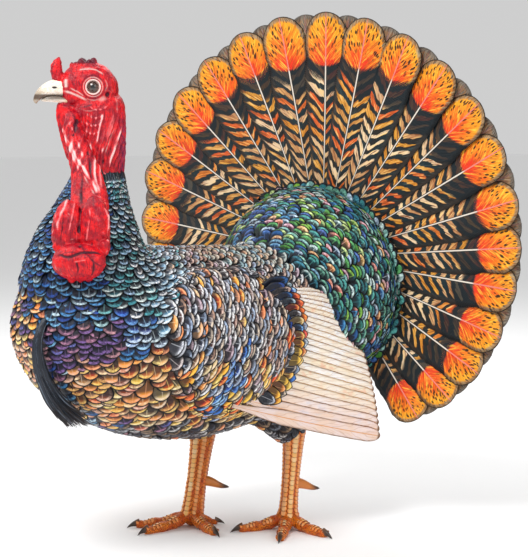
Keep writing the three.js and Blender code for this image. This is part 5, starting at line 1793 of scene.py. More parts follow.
def feathered(
    name, laid_out, half, shares, unwrap, camber, thick,
    columns=5, ragged=0.0, seeds=None, floor=None, **carried
):
    """A piece of feathers. `unwrap` maps its points; what is carried has a value for each feather."""
    count = len(half)
    points, polygons = vanes(*laid_out, half, camber, thick, columns, ragged)
    if floor is not None:
        points[:, 2] = np.maximum(points[:, 2], floor)
    seeds = rng.random(count) if seeds is None else seeds
    places = vane_places(count, len(shares), columns, shares, seeds)
    each = len(places) // count
    attributes = {"vane": places}
    attributes.update({key: np.repeat(values, each, axis=0) for key, values in carried.items()})
    return build(name, points, polygons, attributes, unwrap(places, each))


def on_spots(spots, patch=PATCH, start=(0, -0.5)):
    """An unwrap on which each feather takes a small patch at its own spot."""

    def unwrap(places, each):
        return np.repeat(spots, each, axis=0) + patch * (places[:, :2] * (0.5, 1) + start)

    return unwrap


def make_collar():
    roots, tips = collar()
    ways = tips - roots
    outward = unit((roots - NECK_MIDDLE) * vec(1, 1, 0))
    laid_out = straight(roots, ways, outward, np.linalg.norm(ways, axis=1), BODY_SHARES)
    tint, rim = painted(roots, only("neck_top", len(roots)))
    half = COLLAR_HALF * body_form(BODY_SHARES) * rng.uniform(0.9, 1.15, (len(roots), 1))
    spots = on_spots(unwrapped(roots, "neck_top"))
    piece = feathered("coat_collar", laid_out, half, BODY_SHARES, spots, 0.15, 0.6, tint=tint, rim=rim)
    dress(piece, bpy.data.materials["feathers_glossy"], "plumage")


def make_coat():
    p, n, d, shares, size = scattered()
    tint, rim = painted(p, shares)
    names = list(SIZES)
    region = np.array(names)[np.stack([shares[k] for k in names], 1).argmax(1)]
    grown_by = rng.uniform(0.88, 1.14, len(p))
    seeds = rng.random(len(p))
    plain = coat_material("feathers", 0.0, 0.45)
    shiny = coat_material("feathers_glossy", 0.2, 0.36)
    pieces = {
        "coat_neck": (("neck_top", "neck"), shiny, "plumage"),
        "coat_breast": (("breast", "low"), plain, "plumage"),
        "coat_back": (("back",), plain, "plumage"),
        "coat_belly": (("belly",), plain, "plumage"),
        "coat_thighs": (("thigh",), plain, "plumage"),
        "coat_rump": (("rump",), shiny, "rump"),
        "coat_undertail": (("undertail",), plain, "plumage"),
        "coat_wings": (("wing",), plain, "wing"),
    }
    nodes = {"coat_rump": ["rump"], "coat_undertail": ["undertail"]}
    for name, (regions, material, slot) in pieces.items():
        own = np.where(np.isin(region, regions))[0]
        wide, long, _, _, high = size[own].T
        path, out, along = laid(p[own], n[own], d[own], long * grown_by[own], high, BODY_SHARES)
        if name in nodes:
            path = lower_front(path, regions[0])
        half = wide[:, None] * body_form(BODY_SHARES) * rng.uniform(0.9, 1.1, (len(own), 1))
        camber = rng.uniform(0.08, 0.16, len(own))
        at = np.zeros((len(own), 2))
        for r in regions:
            at[region[own] == r] = unwrapped(p[own][region[own] == r], r)
        carried = dict(seeds=seeds[own], tint=tint[own], rim=rim[own])
        thick = wide * 0.04 + 0.35
        laid_out = (path, out, along)
        piece = feathered(name, laid_out, half, BODY_SHARES, on_spots(at), camber, thick, **carried)
        dress(piece, material, slot, *nodes.get(name, []))


# ---- Long feathers: tail, rump edge, undertail and wings ----
def straight(roots, ways, facing, lengths, shares, twist=0.0, bend=0.0, side=0.0):
    """Feathers on nearly straight shafts, each turned by `twist` about its own."""
    count = len(roots)
    ways = unit(ways)
    out = unit(facing - ways * (ways * facing).sum(-1, keepdims=True))
    across = np.cross(ways, out)
    turn = np.broadcast_to(twist, count)[:, None]
    face = out * np.cos(turn) + across * np.sin(turn)
    t = shares[None, :, None]
    path = roots[:, None] + ways[:, None] * (t * np.reshape(lengths, (-1, 1, 1)))
    path = path + out[:, None] * (np.reshape(np.broadcast_to(bend, count), (-1, 1, 1)) * t**2)
    path = path + across[:, None] * (np.reshape(np.broadcast_to(side, count), (-1, 1, 1)) * t**2)
    shape = (count, len(shares), 3)
    return path, np.broadcast_to(face[:, None], shape), np.broadcast_to(ways[:, None], shape)


def tip_shares(rows, tip, tip_rows):
    """Rows along a vane, closer together on its rounded tip."""
    vane = np.linspace(0, 1 - tip, rows)
    around = 1 - tip + tip * np.sin(0.5 * np.pi * np.arange(1, tip_rows + 1) / tip_rows)
    return np.append(vane, around)


def rounded(shares, tip, blunt=2.0):
    """How much of its width a vane has at each share: all of it but on its rounded tip."""
    over = np.clip((shares - 1 + tip) / tip, 0, 1)
    return np.maximum(0.05, (1 - over**blunt) ** (1 / blunt))


def on_strips(*strips):
    """An unwrap on which each feather fills its own strip (left, right, bottom, top)."""

    def unwrap(places, each):
        left, right, bottom, top = (np.repeat(edge, each) for edge in np.broadcast_arrays(*strips))
        return np.stack([mix(left, right, places[:, 0] / 2 + 0.5), mix(bottom, top, places[:, 1])], 1)

    return unwrap


def on_patches(left, low):
    return on_strips(left, left + PATCH, low, low + PATCH)


FAN_REACH = 174  # how far from the middle of the dome or undertail the unwrap of its long feathers goes


def on_fan_patches(roots, left, up):
    place = 0.5 + (in_fan(roots) - vec(left, up, 0))[:, :2] / FAN_REACH * 0.46
    return on_patches(*place.T)


TAIL_FRONT, TAIL_START = 22, 40  # feathers in the front row, and where they begin on their spokes
TAIL_TWIST = math.radians(5)


def tail_row(name, angles, back, half_width, longer, low, material):
    """One row of the fan's feathers, `back` behind its front."""
    shares = tip_shares(44, TAIL_TIP, 10)
    ways = spoke(angles)
    roots = on_fan(0, 0, -back) + ways * TAIL_START
    lengths = spoke_length(angles, FAN_RADIUS) - TAIL_START + longer
    twist = -np.sign(angles) * TAIL_TWIST * np.minimum(1, np.abs(angles) / 0.1)
    laid_out = straight(roots, ways, FAN_FACE, lengths, shares, twist, 10)
    form = mix(0.3, 1, smooth(-0.1, 0.8, shares))
    form = form * (1 - 0.07 * bell(shares, 0.05, 0.79)) * rounded(shares, TAIL_TIP, 2.1)
    half = half_width * form * rng.uniform(0.97, 1.03, (len(angles), 1))
    strip = 0.9 / len(angles)
    left = 0.02 + (angles / (FAN_HALF_SPREAD * 1.02) + 1) / 2 * (0.96 - strip)
    strips = on_strips(left, left + strip, low, low + 0.44)
    piece = feathered(name, laid_out, half, shares, strips, 0.1, 1.6, 9, 0.025)
    dress(piece, material, "tail", "tail_fan")


def make_tail():
    front = np.linspace(-FAN_HALF_SPREAD, FAN_HALF_SPREAD, TAIL_FRONT)
    front = front + rng.uniform(-0.012, 0.012, TAIL_FRONT)
    behind = (front[1:] + front[:-1]) / 2
    tail_row("tail_front", front, 0, 42, 0, 0.03, tail_material("tail", False))
    tail_row("tail_rear", behind, 8, 41, -3, 0.52, tail_material("tail_rear", True))


def fan_tiers(tiers, spread, uneven):
    """Roots, ways, lengths and angles of feathers, from tiers (start, reach, tilt, length, count)."""
    made = []
    for start, reach, tilt, length, count in tiers:
        angles = np.linspace(-1, 1, count) * math.radians(spread)
        ways = unit(spoke(angles) + FAN_FACE * tilt)
        lengths = length * rng.uniform(1 - uneven, 1 + uneven, count)
        made.append((start + ways * reach, ways, lengths, angles))
    return [np.concatenate(column) for column in zip(*made)]


DOME_EDGE_TIERS = ((60, 8, 64), (72, 14, 60), (84, 23, 56))  # in from the edge, out of it, length
# Reach, how far behind the fan, length, count.
UNDERTAIL_TIERS = ((100, 20, 126, 26), (64, 30, 120, 25), (24, 44, 110, 20))


def rim_of_dome():
    """Tiers of feathers round the edge of the raised rump, lying on the tail."""
    tiers = [
        (on_fan(DOME_LEFT, DOME_UP, DOME_BASE + out), DOME_RADIUS - reach, -0.03, length, 60 + tier % 2)
        for tier, (reach, out, length) in enumerate(DOME_EDGE_TIERS)
    ]
    roots, ways, lengths, angles = fan_tiers(tiers, 128, 0.08)
    count = len(roots)
    laid_out = straight(roots, ways, FAN_FACE, lengths, BODY_SHARES, -np.sign(angles) * 0.09)
    tint, rim = painted(roots, only("rump", count))
    half = 14 * body_form(BODY_SHARES) * rng.uniform(0.9, 1.1, (count, 1))
    patches = on_fan_patches(roots, DOME_LEFT, DOME_UP)
    piece = feathered(
        "coat_rump_edge", laid_out, half, BODY_SHARES, patches, 0.2, 1.4, tint=tint, rim=rim
    )
    dress(piece, bpy.data.materials["feathers_glossy"], "rump", "rump")


def undertail_coverts():
    """Long dark feathers with buff tips, behind the fan's root."""
    tiers = [
        (on_fan(0, -UNDERTAIL_DOWN, -back), reach, 0.05 * (back - 20) / 20, length, count)
        for reach, back, length, count in UNDERTAIL_TIERS
    ]
    roots, ways, lengths, angles = fan_tiers(tiers, 120, 0.07)
    count = len(roots)
    shares = tip_shares(10, 0.3, 6)
    laid_out = straight(roots, ways, -FAN_FACE, lengths, shares, np.sign(angles) * 0.1)
    grounds, rims = PAINTS["under"]
    tint = grounds[rng.integers(len(grounds), size=count)] * rng.uniform(0.7, 1.2, (count, 1))
    rim = rims[rng.integers(len(rims), size=count)]
    half = 17 * mix(0.6, 1, smooth(0, 0.5, shares)) * rounded(shares, 0.3)
    half = half * rng.uniform(0.9, 1.1, (count, 1))
    patches = on_fan_patches(roots, 0, -UNDERTAIL_DOWN)
    piece = feathered(
        "coat_undertail_long", laid_out, half, shares, patches, 0.1, 1.4, tint=tint, rim=rim
    )
    dress(piece, bpy.data.materials["feathers"], "plumage", "undertail")


FLIGHTS = 23
FLIGHT_TWIST = math.radians(7)
COVERT_TWIST = math.radians(12)
COVERT_OUT = 152
COVERT_TIP = 0.6


def flight_feathers(side, material):
    s = np.linspace(0, 1, FLIGHTS)
    root = np.stack([side * mix(150, 146, s), mix(-62, -185, s**1.4), mix(424, 260, s**1.75)], 1)
    sweep_back = np.sin(1.45 * s**0.62)
    end = np.stack([side * mix(126, 146, s), mix(64, 184, sweep_back), mix(404, 150, s)], 1)
    root = mix(root, end, mix(0.32, 0.12, smooth(0, 0.4, s))[:, None])
    run = end - root
    shares = tip_shares(36, 0.1, 7)
    outward = unit(vec(side, 0, 0.08))
    laid_out = straight(
        root, run, outward, np.linalg.norm(run, axis=1), shares, side * FLIGHT_TWIST, 0, side * -10
    )
    start = mix(0.9, 0.3, s)[:, None]  # the lower ones begin nearly in a point
    # The upper ones end in a point too.
    taper = 1 - 0.6 * (1 - s)[:, None] ** 1.5 * smooth(0.55, 1, shares)
    half = 13 * mix(start, 1, smooth(0, 0.35, shares)) * taper * rounded(shares, 0.1)
    left = 0.02 + 0.48 * (side > 0) + s * 0.43
    strips = on_strips(left, left + 0.018, 0.52, 0.98)
    tint = smooth(0.72, 1.0, s)[:, None] * vec(1, 1, 1)
    name = SIDES[side < 0]
    piece = feathered("flight_" + name, laid_out, half, shares, strips, 0.06, 1.3, 7, 0.02, tint=tint)
    dress(piece, material, "wing", "wing_" + name)


COVERT_RED = (colours("#a01818", "#c02018", "#801020"), colours("#ff7868", "#e88878"))
# From the top of the row down: each paint is used above so many degrees.
COVERT_BANDS = (
    (30, "navy"), (12, "flame"), (-4, "red"), (-24, "gold"), (-34, "wing"), (-64, "gold"), (-180, "wing")
)
COVERT_ODD = ("wing", "mauve", "blue", "straw")  # a few are of these instead
COVERT_TIERS = ((0.74, 0.99, 17, 14.0), (0.7, 0.9, 18, 12.5))  # start, reach, count and half width


def wing_coverts(side):
    """Tiers of broad coverts that lie over the roots of the flight feathers."""
    rows = []
    for tier, (r, reach, count, half) in enumerate(COVERT_TIERS):
        lift = 1.6 * tier
        for i in range(count):
            turn = math.radians(54 - 116 * (i + 0.5 * tier) / (count - 1))
            root = on_wing(side, r, turn, wing_rise(r) - 8 + lift)
            end = on_wing(side, reach, turn * 0.86, wing_rise(reach) + 4 + lift / 2)
            end[0] = side * max(side * end[0], COVERT_OUT + lift)
            rows.append((root, end, half, turn))
    roots, ends, wide, turns = (np.array(column, float) for column in zip(*rows))
    count = len(roots)
    run = ends - roots
    shares = tip_shares(5, COVERT_TIP, 6)
    lengths = np.linalg.norm(run, axis=1) * rng.uniform(0.94, 1.08, count)
    laid_out = straight(roots, run, unit(vec(side, 0, 0.08)), lengths, shares, side * COVERT_TWIST)
    pointed = rounded(shares, COVERT_TIP, 1.5) * mix(0.7, 1, smooth(0, 1 - COVERT_TIP, shares))
    half = wide[:, None] * pointed * rng.uniform(0.9, 1.1, (count, 1))
    tint, rim = np.empty((count, 3)), np.empty((count, 3))
    for i, turn in enumerate(turns):
        degrees = math.degrees(turn) + rng.uniform(-5, 5)
        paint = next(paint for limit, paint in COVERT_BANDS if degrees > limit)
        if rng.random() < 0.25:
            paint = COVERT_ODD[rng.integers(4)]
        grounds, rims = COVERT_RED if paint == "red" else PAINTS[paint]
        tint[i] = grounds[rng.integers(len(grounds))]
        rim[i] = rims[rng.integers(len(rims))]
    left = 0.02 + 0.48 * (side > 0) + 0.45 * (turns + 1.3) / 2.6
    patches = on_patches(left, 0.3 + 0.2 * (wide - 12) / 3)
    name = SIDES[side < 0]
    piece = feathered(
        "coat_coverts_" + name, laid_out, half, shares, patches, 0.08, 1.1, 7, tint=tint, rim=rim
    )
    dress(piece, bpy.data.materials["feathers"], "wing", "wing_" + name)


make_coat()
make_collar()
make_tail()
rim_of_dome()
undertail_coverts()
vane_material = flight_material()
for wing_side in (1, -1):
    flight_feathers(wing_side, vane_material)
    wing_coverts(wing_side)
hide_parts("wing_left", "wing_right")


# ---- Beard ----
BEARD_LINE = vec(
    (33, -407, 412), (40, -438, 372), (39, -438, 324), (38, -418, 276), (42, -400, 250), (50, -379, 225)
)
BRISTLES, BRISTLE_ROWS, BRISTLE_SIDES = 320, 13, 4
BRISTLE_THICK = 1.5


def beard_material():
    s = Shader("beard")
    u, v, seed = s.split(s.read("vane", "Vector"))
    shade = s.random(s.times(seed, 91.0))
    colour = s.layers(
        (0.003, 0.004, 0.009),
        (shade, (0.02, 0.032, 0.055)),
        # painted highlights: some bristles blue-grey
        (shade, 0.86, 0.95, 1, (0.16, 0.2, 0.26)),
        (v, 0.8, 1.0, 0.4, (0.06, 0.035, 0.02)),
    )
    s.bump(s.grain((u, 4.0), (v, 60.0), seed), 0.0002)
    return s.finish(colour, 0.4)


def make_beard():
    """Long, stiff bristles, each a thin tapered rod, that hang from the breast."""
    at = np.linspace(0, 1, BRISTLE_ROWS)
    sides = BRISTLE_SIDES
    each = BRISTLE_ROWS * sides
    round_angle = rng.uniform(0, 2 * np.pi, BRISTLES)
    off = np.sqrt(rng.random(BRISTLES))
    reach = rng.uniform(0.72, 1.0, BRISTLES)
    seeds = rng.random(BRISTLES)
    angle = 2 * np.pi * np.arange(sides) / sides
    ring = np.stack([np.cos(angle), np.sin(angle), 0.5 * np.sin(angle)], 1)
    thick = BRISTLE_THICK * (1 - 0.75 * at**2)
    first = np.arange(BRISTLES)[:, None] * each
    quads = (first[..., None] + ring_quads(BRISTLE_ROWS, sides)).reshape(-1, 4)
    turn = np.arange(sides)
    ends = np.stack([first + turn[::-1], first + each - sides + turn], 1).reshape(-1, sides)
    points = []
    for i in range(BRISTLES):
        line = spline(BEARD_LINE, at * reach[i])
        away = off[i] * (5 + 9 * at**2)
        line[:, 0] += away * math.cos(round_angle[i])
        line[:, 1] += away * (0.9 * math.sin(round_angle[i]) + 0.9 * at * (1 + math.sin(round_angle[i])))
        line[:, 0] += 1.6 * np.sin(7 * at + 20 * seeds[i]) * at
        points.append((line[:, None] + ring * thick[:, None, None]).reshape(-1, 3))
    points, polygons = turned_out(np.concatenate(points), [quads, ends])
    u, v = (np.tile(a.ravel(), BRISTLES) for a in np.meshgrid(np.arange(sides) / sides, at))
    places = np.stack([u, v, np.repeat(seeds, each)], 1)
    root = 0.5 + 0.3 * off[:, None] * np.stack([np.cos(round_angle), np.sin(round_angle)], 1)
    uv = np.repeat(root, each, axis=0) + PATCH * (places[:, :2] - 0.5)
    piece = build("bristles", points, polygons, {"vane": places}, uv)
    dress(piece, beard_material(), "beard", "beard")


make_beard()


# ---- Plates of the legs and toes ----
PLATES_TO = 0.97  # of the way down the shank
PLATE_SHARES = vec(0, 0.3, 0.6, 0.85, 1.0)
PLATE_FORM = vec(0.86, 1, 1, 0.86, 0.4)
# How far round the shank from its front, how many plates, and how pale they are; each row has a fellow.
SHANK_ROWS = (
    (0.36, 18, 0.85), (-0.36, 18, 0.5), (1.15, 21, 0.4), (-1.15, 21, 0.4),
    (1.95, 23, 0.15), (-1.95, 23, 0.15), (2.8, 23, 0.1), (-2.8, 23, 0.1),
)
TOE_ROWS = ((0, 0.9), (0.85, 0.35), (-0.85, 0.35))
TOE_PLATES = 13
PLATES_IN_A_ROW, PLATE_PATCH = 30, 0.02  # on the unwrap


def shank_plates(name):
    """Root, way, normal, length, half width, lift and paleness of each plate down a shank."""
    hock, ankle, facing = leg_points(name)
    across = np.cross(UP, facing)
    for turn, plates, share in SHANK_ROWS:
        way_out = facing * (1.12 * math.cos(turn)) + across * (0.9 * math.sin(turn))
        normal = unit(facing * math.cos(turn) / 1.12 + across * math.sin(turn) / 0.9)
        places = (np.arange(plates + 1) + 0.5 * (turn > 0)) / plates * PLATES_TO
        line = mix(hock, ankle, places[:, None]) + way_out * shank_radius(places)[:, None]
        line = snapped(line, leg_tree)
        for root, ahead, s in zip(line[:-1], line[1:], places):
            around = 0.72 if abs(turn) < 0.5 else 0.62
            half = shank_radius(s) * around * 0.52
            length = np.linalg.norm(ahead - root) * 1.3
            yield root + normal * 0.8, unit(ahead - root), normal, length, half, 1.6, share


def toe_plates(name):
    _, ankle, _ = leg_points(name)
    for direction, length in zip(LEGS[name]["toes"], TOE_LENGTHS):
        way = heading(direction)
        cross = np.cross(UP, way)
        for turn, share in TOE_ROWS:
            normal = UP * math.cos(turn) + cross * math.sin(turn)
            for i in range(TOE_PLATES):
                s = np.array([0.1 + 0.84 * (i + 0.5 * (turn > 0)) / TOE_PLATES])
                middle, fat = toe_line(way, ankle, length, TOE_THICK, 0, s)
                ahead, _ = toe_line(way, ankle, length, TOE_THICK, 0, s + 0.05)
                aside, above = fat[0] * math.sin(turn), fat[0] * 0.9 * math.cos(turn)
                root = middle[0] + cross * aside + UP * above
                lie = unit(ahead[0] - middle[0])
                long = length / TOE_PLATES * 1.25
                yield root - normal * 0.6, lie, normal, long, fat[0] * 0.5, 1.3, share


def plate_material():
    s = Shader("leg_plates")
    _, wide, v, seed, _ = barbs(s)
    shade = s.random(s.times(seed, 37.0))
    grain = s.noise(s.object_place(MM_PER_M), 0.5, 3.0)
    pale = s.blend(shade, (0.95, 0.52, 0.12), (0.96, 0.76, 0.44))
    colour = s.layers(
        (0.76, 0.13, 0.006),
        (shade, (0.92, 0.3, 0.02)),
        (grain, 0.4, 0.7, 0.5, (0.56, 0.05, 0.006)),
        (s.times(s.read("pale"), s.step(0.9, 0.3, wide)), pale),
        # painted shade at the root of each plate, under the plate that overlaps it
        (v, 0.3, 0.0, 1, (0.3, 0.05, 0.01)),
        (s.math("MAXIMUM", wide, s.sway(v, 2.0)), 0.8, 0.96, 0.9, (0.1, 0.012, 0.004)),
    )
    s.bump(grain, 0.0004, 0.5)
    return s.finish(colour, 0.38)


def leg_plates():
    """Overlapping plates down the front of the shanks, round their sides, and along the toes."""
    path, out, along, half, paleness = [], [], [], [], []
    t = PLATE_SHARES[:, None]
    for name in LEGS:
        for root, way, normal, length, width, lift, share in (*shank_plates(name), *toe_plates(name)):
            normal = unit(normal - way * (normal @ way))
            path.append(root + way * (t * length) + normal * (-0.5 + lift * t))
            out.append(np.tile(normal, (len(t), 1)))
            along.append(np.tile(way, (len(t), 1)))
            half.append(width * PLATE_FORM)
            paleness.append(share)
    count = len(path)
    index = np.arange(count)
    columns, rows = PLATES_IN_A_ROW + 1, count / PLATES_IN_A_ROW + 1
    spots = [index % PLATES_IN_A_ROW / columns, index // PLATES_IN_A_ROW / rows]
    unwrap = on_spots(PLATE_PATCH + np.stack(spots, 1), PLATE_PATCH, (0.5, 0))
    laid_out = (np.array(a) for a in (path, out, along))
    piece = feathered(
        "leg_plates", laid_out, np.array(half), PLATE_SHARES, unwrap, 0.45, 2.2,
        floor=FLOOR, pale=np.array(paleness)
    )
    rng.random(count)  # these draws are left unused, so that the later ones stay as they were
    dress(piece, plate_material(), "leg", "foot_left", "foot_right")


leg_plates()


# ---- Claws and spurs ----
def horn_material(name, dark, light, ridge_from):
    s = Shader(name)
    u, v, seed = s.split(s.read("vane", "Vector"))
    grain = s.grain((u, 9.0), (v, 2.5), seed, 3.0)
    colour = s.layers(
        light,
        (s.add(v, s.sway(grain, 0.3)), ridge_from, ridge_from + 0.45, 1, dark),
        (grain, 0.55, 0.75, 0.35, tuple(c * 0.4 for c in dark)),
    )
    s.bump(grain, 0.0004, 0.5)
    return s.finish(colour, 0.3)


def horn(name, centres, radii, high, way, material, node, flat=False, sides=20):
    """A tapered, curved horn with a rounded tip and a low ridge along its top, closed."""
    across = np.cross(UP, way)
    angle = 2 * np.pi * np.arange(sides) / sides
    top = 1 + 0.08 * np.cos(angle - np.pi / 2) ** 3
    rings = []
    for centre, radius in zip(centres, radii):
        ring = centre + across * (radius * 0.8 * np.cos(angle) * top)[:, None]
        rings.append(ring + UP * (radius * high * np.sin(angle) * top)[:, None])
    rings = np.array(rings)
    if flat:
        rings[..., 2] = np.maximum(FLOOR, rings[..., 2])
    points, polygons = grid_shell(rings)
    v = np.repeat(np.linspace(0, 1, len(rings)), sides)
    u = np.tile(np.arange(sides) / sides, len(rings))
    caps = len(points) - len(v)
    v, u = np.append(v, np.ones(caps)), np.append(u, np.zeros(caps))
    places = np.stack([u, v, np.full(len(v), rng.random())], 1)
    piece = build(name, points, polygons, {"vane": places}, places[:, :2] * 0.9 + 0.05)
    dress(piece, material, "claw", node)


CLAW_SIZES = {"toe": (6.4, 8), "hind": (5.0, 7)}  # thickness, and height of its root over the floor
CLAW_TIP = (0.95, 0.85, 0.65, 0.3)
SPUR_STEPS = [(0, 0, 10), (24, -6, 8.5), (42, -13, 5), (56, -16, 1.4)]  # out, up and radius
SPUR_TIP = (0.9, 0.7, 0.3)
SPUR_AT = 0.62  # of the way down the shank


def make_claws():
    claw_material = horn_material("claw", (0.03, 0.016, 0.01), (0.13, 0.06, 0.03), 0.1)
    spur_material = horn_material("spur", (0.05, 0.02, 0.012), (0.62, 0.2, 0.03), 0.42)
    s = np.linspace(0, 1, 26)
    for name, leg in LEGS.items():
        hock, ankle, _ = leg_points(name)
        ends = [(d, n - 6, "toe") for d, n in zip(leg["toes"], TOE_LENGTHS)]
        ends.append((leg["hallux"], HALLUX_LENGTH - 4, "hind"))
        for (direction, reach, kind), toe in zip(ends, ("inner", "middle", "outer", "hind")):
            size, height = CLAW_SIZES[kind]
            way = heading(direction)
            start = ankle + way * reach
            start[2] = FLOOR + height
            radii = np.maximum(0.5, size * (1 - 0.9 * s**1.15))
            radii[-4:] *= CLAW_TIP
            centres = start + way * (size * 3.3 * s)[:, None]
            centres[:, 2] = mix(start[2], FLOOR + radii * 0.8, s**1.4)
            claw = f"{toe}_{name}"
            horn("horn_" + claw, centres, radii, 1.1, way, claw_material, "claw_" + claw, True)
        root = mix(hock, ankle, SPUR_AT)
        back = heading(leg["spur"])
        knots = [[*(root + back * out + UP * up), radius] for out, up, radius in SPUR_STEPS]
        line = spline(knots, np.linspace(0, 1, 30))
        line[-3:, 3] *= SPUR_TIP
        horn(f"spur_horn_{name}", line[:, :3], line[:, 3], 1.0, back, spur_material, f"spur_{name}")


make_claws()


# ---- Bill ----
# Stations (ahead, up, half width, half height) from the root of the bill to its tip.
UPPER_BILL = [
    (36, -1, 12, 15),
    (50, 0, 10.8, 13.5),
    (63, -3, 8.6, 11),
    (74, -9, 6, 8),
    (81, -18, 3.4, 5),
    (82, -25, 1.6, 2.4),
]
LOWER_BILL = [(32, -20, 10.4, 6), (49, -17.6, 9, 5.4), (64, -17.6, 6.4, 4.4), (74, -20, 3.2, 2.6)]
NOSTRIL_AHEAD, NOSTRIL_UP, NOSTRIL_SLANT = 54, 0, 0.2


def bill_piece(name, stations, caps, node, nostrils):
    points, polygons = sweep(head_stations(*stations), rings=64, sides=48, caps=caps, side=HEAD_SIDE)
    local = (points - HEAD_AT) @ HEAD_TURN
    left, ahead, up = local[:, 0], -local[:, 1], local[:, 2]
    for side in (1, -1) if nostrils else ():
        # A slanting slot under a raised flap.
        forward, over = ahead - NOSTRIL_AHEAD, up - NOSTRIL_UP
        a = forward * math.cos(NOSTRIL_SLANT) + over * math.sin(NOSTRIL_SLANT)
        b = over * math.cos(NOSTRIL_SLANT) - forward * math.sin(NOSTRIL_SLANT)
        near = np.exp(-((a / 4.2) ** 2) - (b / 1.7) ** 2) * (side * left > 3)
        flap = np.exp(-((a / 5.5) ** 2) - ((b - 3.2) / 1.6) ** 2) * (side * left > 3)
        left = left - side * (3.0 * near - 1.1 * flap)
    points = HEAD_AT + np.stack([left, -ahead, up], 1) @ HEAD_TURN.T
    along = np.clip((ahead - 32) / 52, 0, 1)
    places = np.stack([left / 12, along, up / 12], 1)
    uv = np.stack([0.5 + left / 40, 0.05 + along * 0.9], 1)
    dress(build(name, points, polygons, {"vane": places}, uv), bill_material, "bill", node)


def make_bill_material():
    """Cream horn, brown towards its tip and its root, with painted shade along the mouth line and in the
    nostril.
    """
    s = Shader("bill")
    across, along, up = s.split(s.read("vane", "Vector"))
    grain = s.noise(s.object_place(MM_PER_M), 0.35, 3.0)
    streak = s.grain((across, 6.0), (along, 3.0), s.times(up, 6.0), 3.0)
    mouth_line_shade = s.times(s.step(-0.7, -1.0, up), s.step(-1.75, -1.35, up))
    off = s.add(
        s.math("POWER", s.times(s.add(along, -0.423), 10.0), 2.0), s.math("POWER", s.times(up, 5.5), 2.0)
    )
    colour = s.layers(
        (0.86, 0.76, 0.6),
        (grain, 0.35, 0.65, 1, (0.93, 0.88, 0.78)),
        (streak, 0.5, 0.7, 0.5, (0.62, 0.4, 0.2)),
        (along, 0.62, 1.0, 0.65, (0.2, 0.11, 0.05)),
        (along, 0.22, 0.0, 0.8, (0.72, 0.34, 0.12)),
        # painted shade along the mouth line, where the two halves of the bill meet
        (s.times(mouth_line_shade, 0.85), (0.05, 0.022, 0.012)),
        # painted shade in the nostril
        (s.math("SQRT", off), 1.0, 0.55, 1, (0.015, 0.006, 0.004)),
    )
    s.bump(s.add(grain, s.times(streak, 0.6)), 0.0005, 0.5)
    return s.finish(colour, 0.27)


bill_material = make_bill_material()
bill_piece("bill_top", UPPER_BILL, (0.05, 0.14), "bill_upper", True)
bill_piece("bill_bottom", LOWER_BILL, (0.05, 0.3), "bill_lower", False)


# ---- Eyes ----
def eye_material():
    """A black pupil in a dark brown iris with rays, and the flesh round it."""
    s = Shader("eye")
    across, high, _ = s.split(s.read("vane", "Vector"))
    off = s.math("SQRT", s.add(s.math("POWER", across, 2.0), s.math("POWER", high, 2.0)))
    rays = s.grain((s.math("ARCTAN2", high, across), 5.0), (off, 2.5), 0.5, 3.0)
    colour = s.layers(
        (0.02, 0.007, 0.004),
        (rays, 0.35, 0.68, 1, (0.09, 0.035, 0.014)),
        (off, 0.6, 0.74, 1, (0.02, 0.008, 0.006)),
        (off, 0.4, 0.33, 1, (0.001, 0.001, 0.001)),
        (off, 0.76, 0.82, 1, (0.3, 0.2, 0.17)),
    )
    s.bump(rays, 0.0001, 0.2)
    return s.finish(colour, 0.06, Coat_Weight=1.0, Coat_Roughness=0.02)


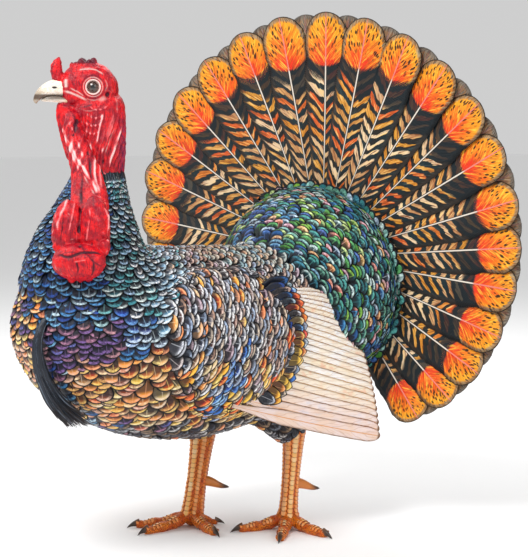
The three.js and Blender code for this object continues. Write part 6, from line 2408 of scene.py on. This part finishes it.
def make_eyes():
    material = eye_material()
    polar = np.linspace(0, np.pi, 41)[1:-1, None]
    round_angle = 2 * np.pi * np.arange(56) / 56
    bulge = 1 + 0.035 * bell(polar, 0.5)
    around = [np.sin(polar) * np.cos(round_angle), np.sin(polar) * np.sin(round_angle)]
    ball_rings = np.stack([*around, np.cos(polar) * np.ones(56)], -1) * (EYE_RADIUS * bulge)[..., None]
    for side in (1, -1):
        axis = eye_axis(side)
        axes = np.stack([np.cross(UP, axis), UP, axis])
        points, polygons = grid_shell(eye_middle(side) + ball_rings @ axes)
        own = (points - eye_middle(side)) @ axes.T / EYE_RADIUS
        name = SIDES[side < 0]
        piece = build("eyeball_" + name, points, polygons, {"vane": own}, own[:, :2] * 0.45 + 0.5)
        dress(piece, material, "eye", "eye_" + name)


make_eyes()


# ---- Stage ----
FLOOR_REACH = 30.0
FLOOR_PALE, FLOOR_SPECK = (0.95, 0.95, 0.95), (0.91, 0.91, 0.91)
LIT_MIDDLE = vec(0, 0, 0.45)
SKY_STRENGTH = 0.62
# Azimuth, elevation, distance, size and power of each lamp.
LAMPS = {
    "key": (20, 50, 3.2, 1.4, 70),
    "fill": (100, 25, 3.4, 2.2, 22),
    "rear": (215, 45, 3.2, 2.0, 40),
    "right": (-60, 35, 3.2, 2.0, 22),
}


def make_stage():
    mesh = bpy.data.meshes.new("floor")
    corners = [(x * FLOOR_REACH, y * FLOOR_REACH, 0) for x, y in ((-1, -1), (1, -1), (1, 1), (-1, 1))]
    mesh.from_pydata(corners, [], [(0, 1, 2, 3)])
    s = Shader("floor")
    speck = s.noise(s.object_place(), 40.0)
    mesh.materials.append(s.finish(s.blend(s.times(speck, 0.3), FLOOR_PALE, FLOOR_SPECK), 0.9))
    placed("floor", mesh)


def make_lamp(name, azimuth, elevation, distance, size, power):
    back = outward_at(math.radians(azimuth), math.radians(elevation))
    data = bpy.data.lights.new(name, "AREA")
    data.size = size
    data.energy = power
    aimed(name, data, LIT_MIDDLE + back * distance, back)


def make_world():
    world = bpy.data.worlds.new("studio")
    world.use_nodes = True
    sky = world.node_tree.nodes["Background"]
    sky.inputs["Color"].default_value = (1, 1, 1, 1)
    sky.inputs["Strength"].default_value = SKY_STRENGTH
    bpy.context.scene.world = world


make_stage()
for lamp, settings in LAMPS.items():
    make_lamp(lamp, *settings)
make_world()
make_camera()
bpy.context.scene.view_settings.view_transform = "Standard"

bpy.context.view_layer.update()
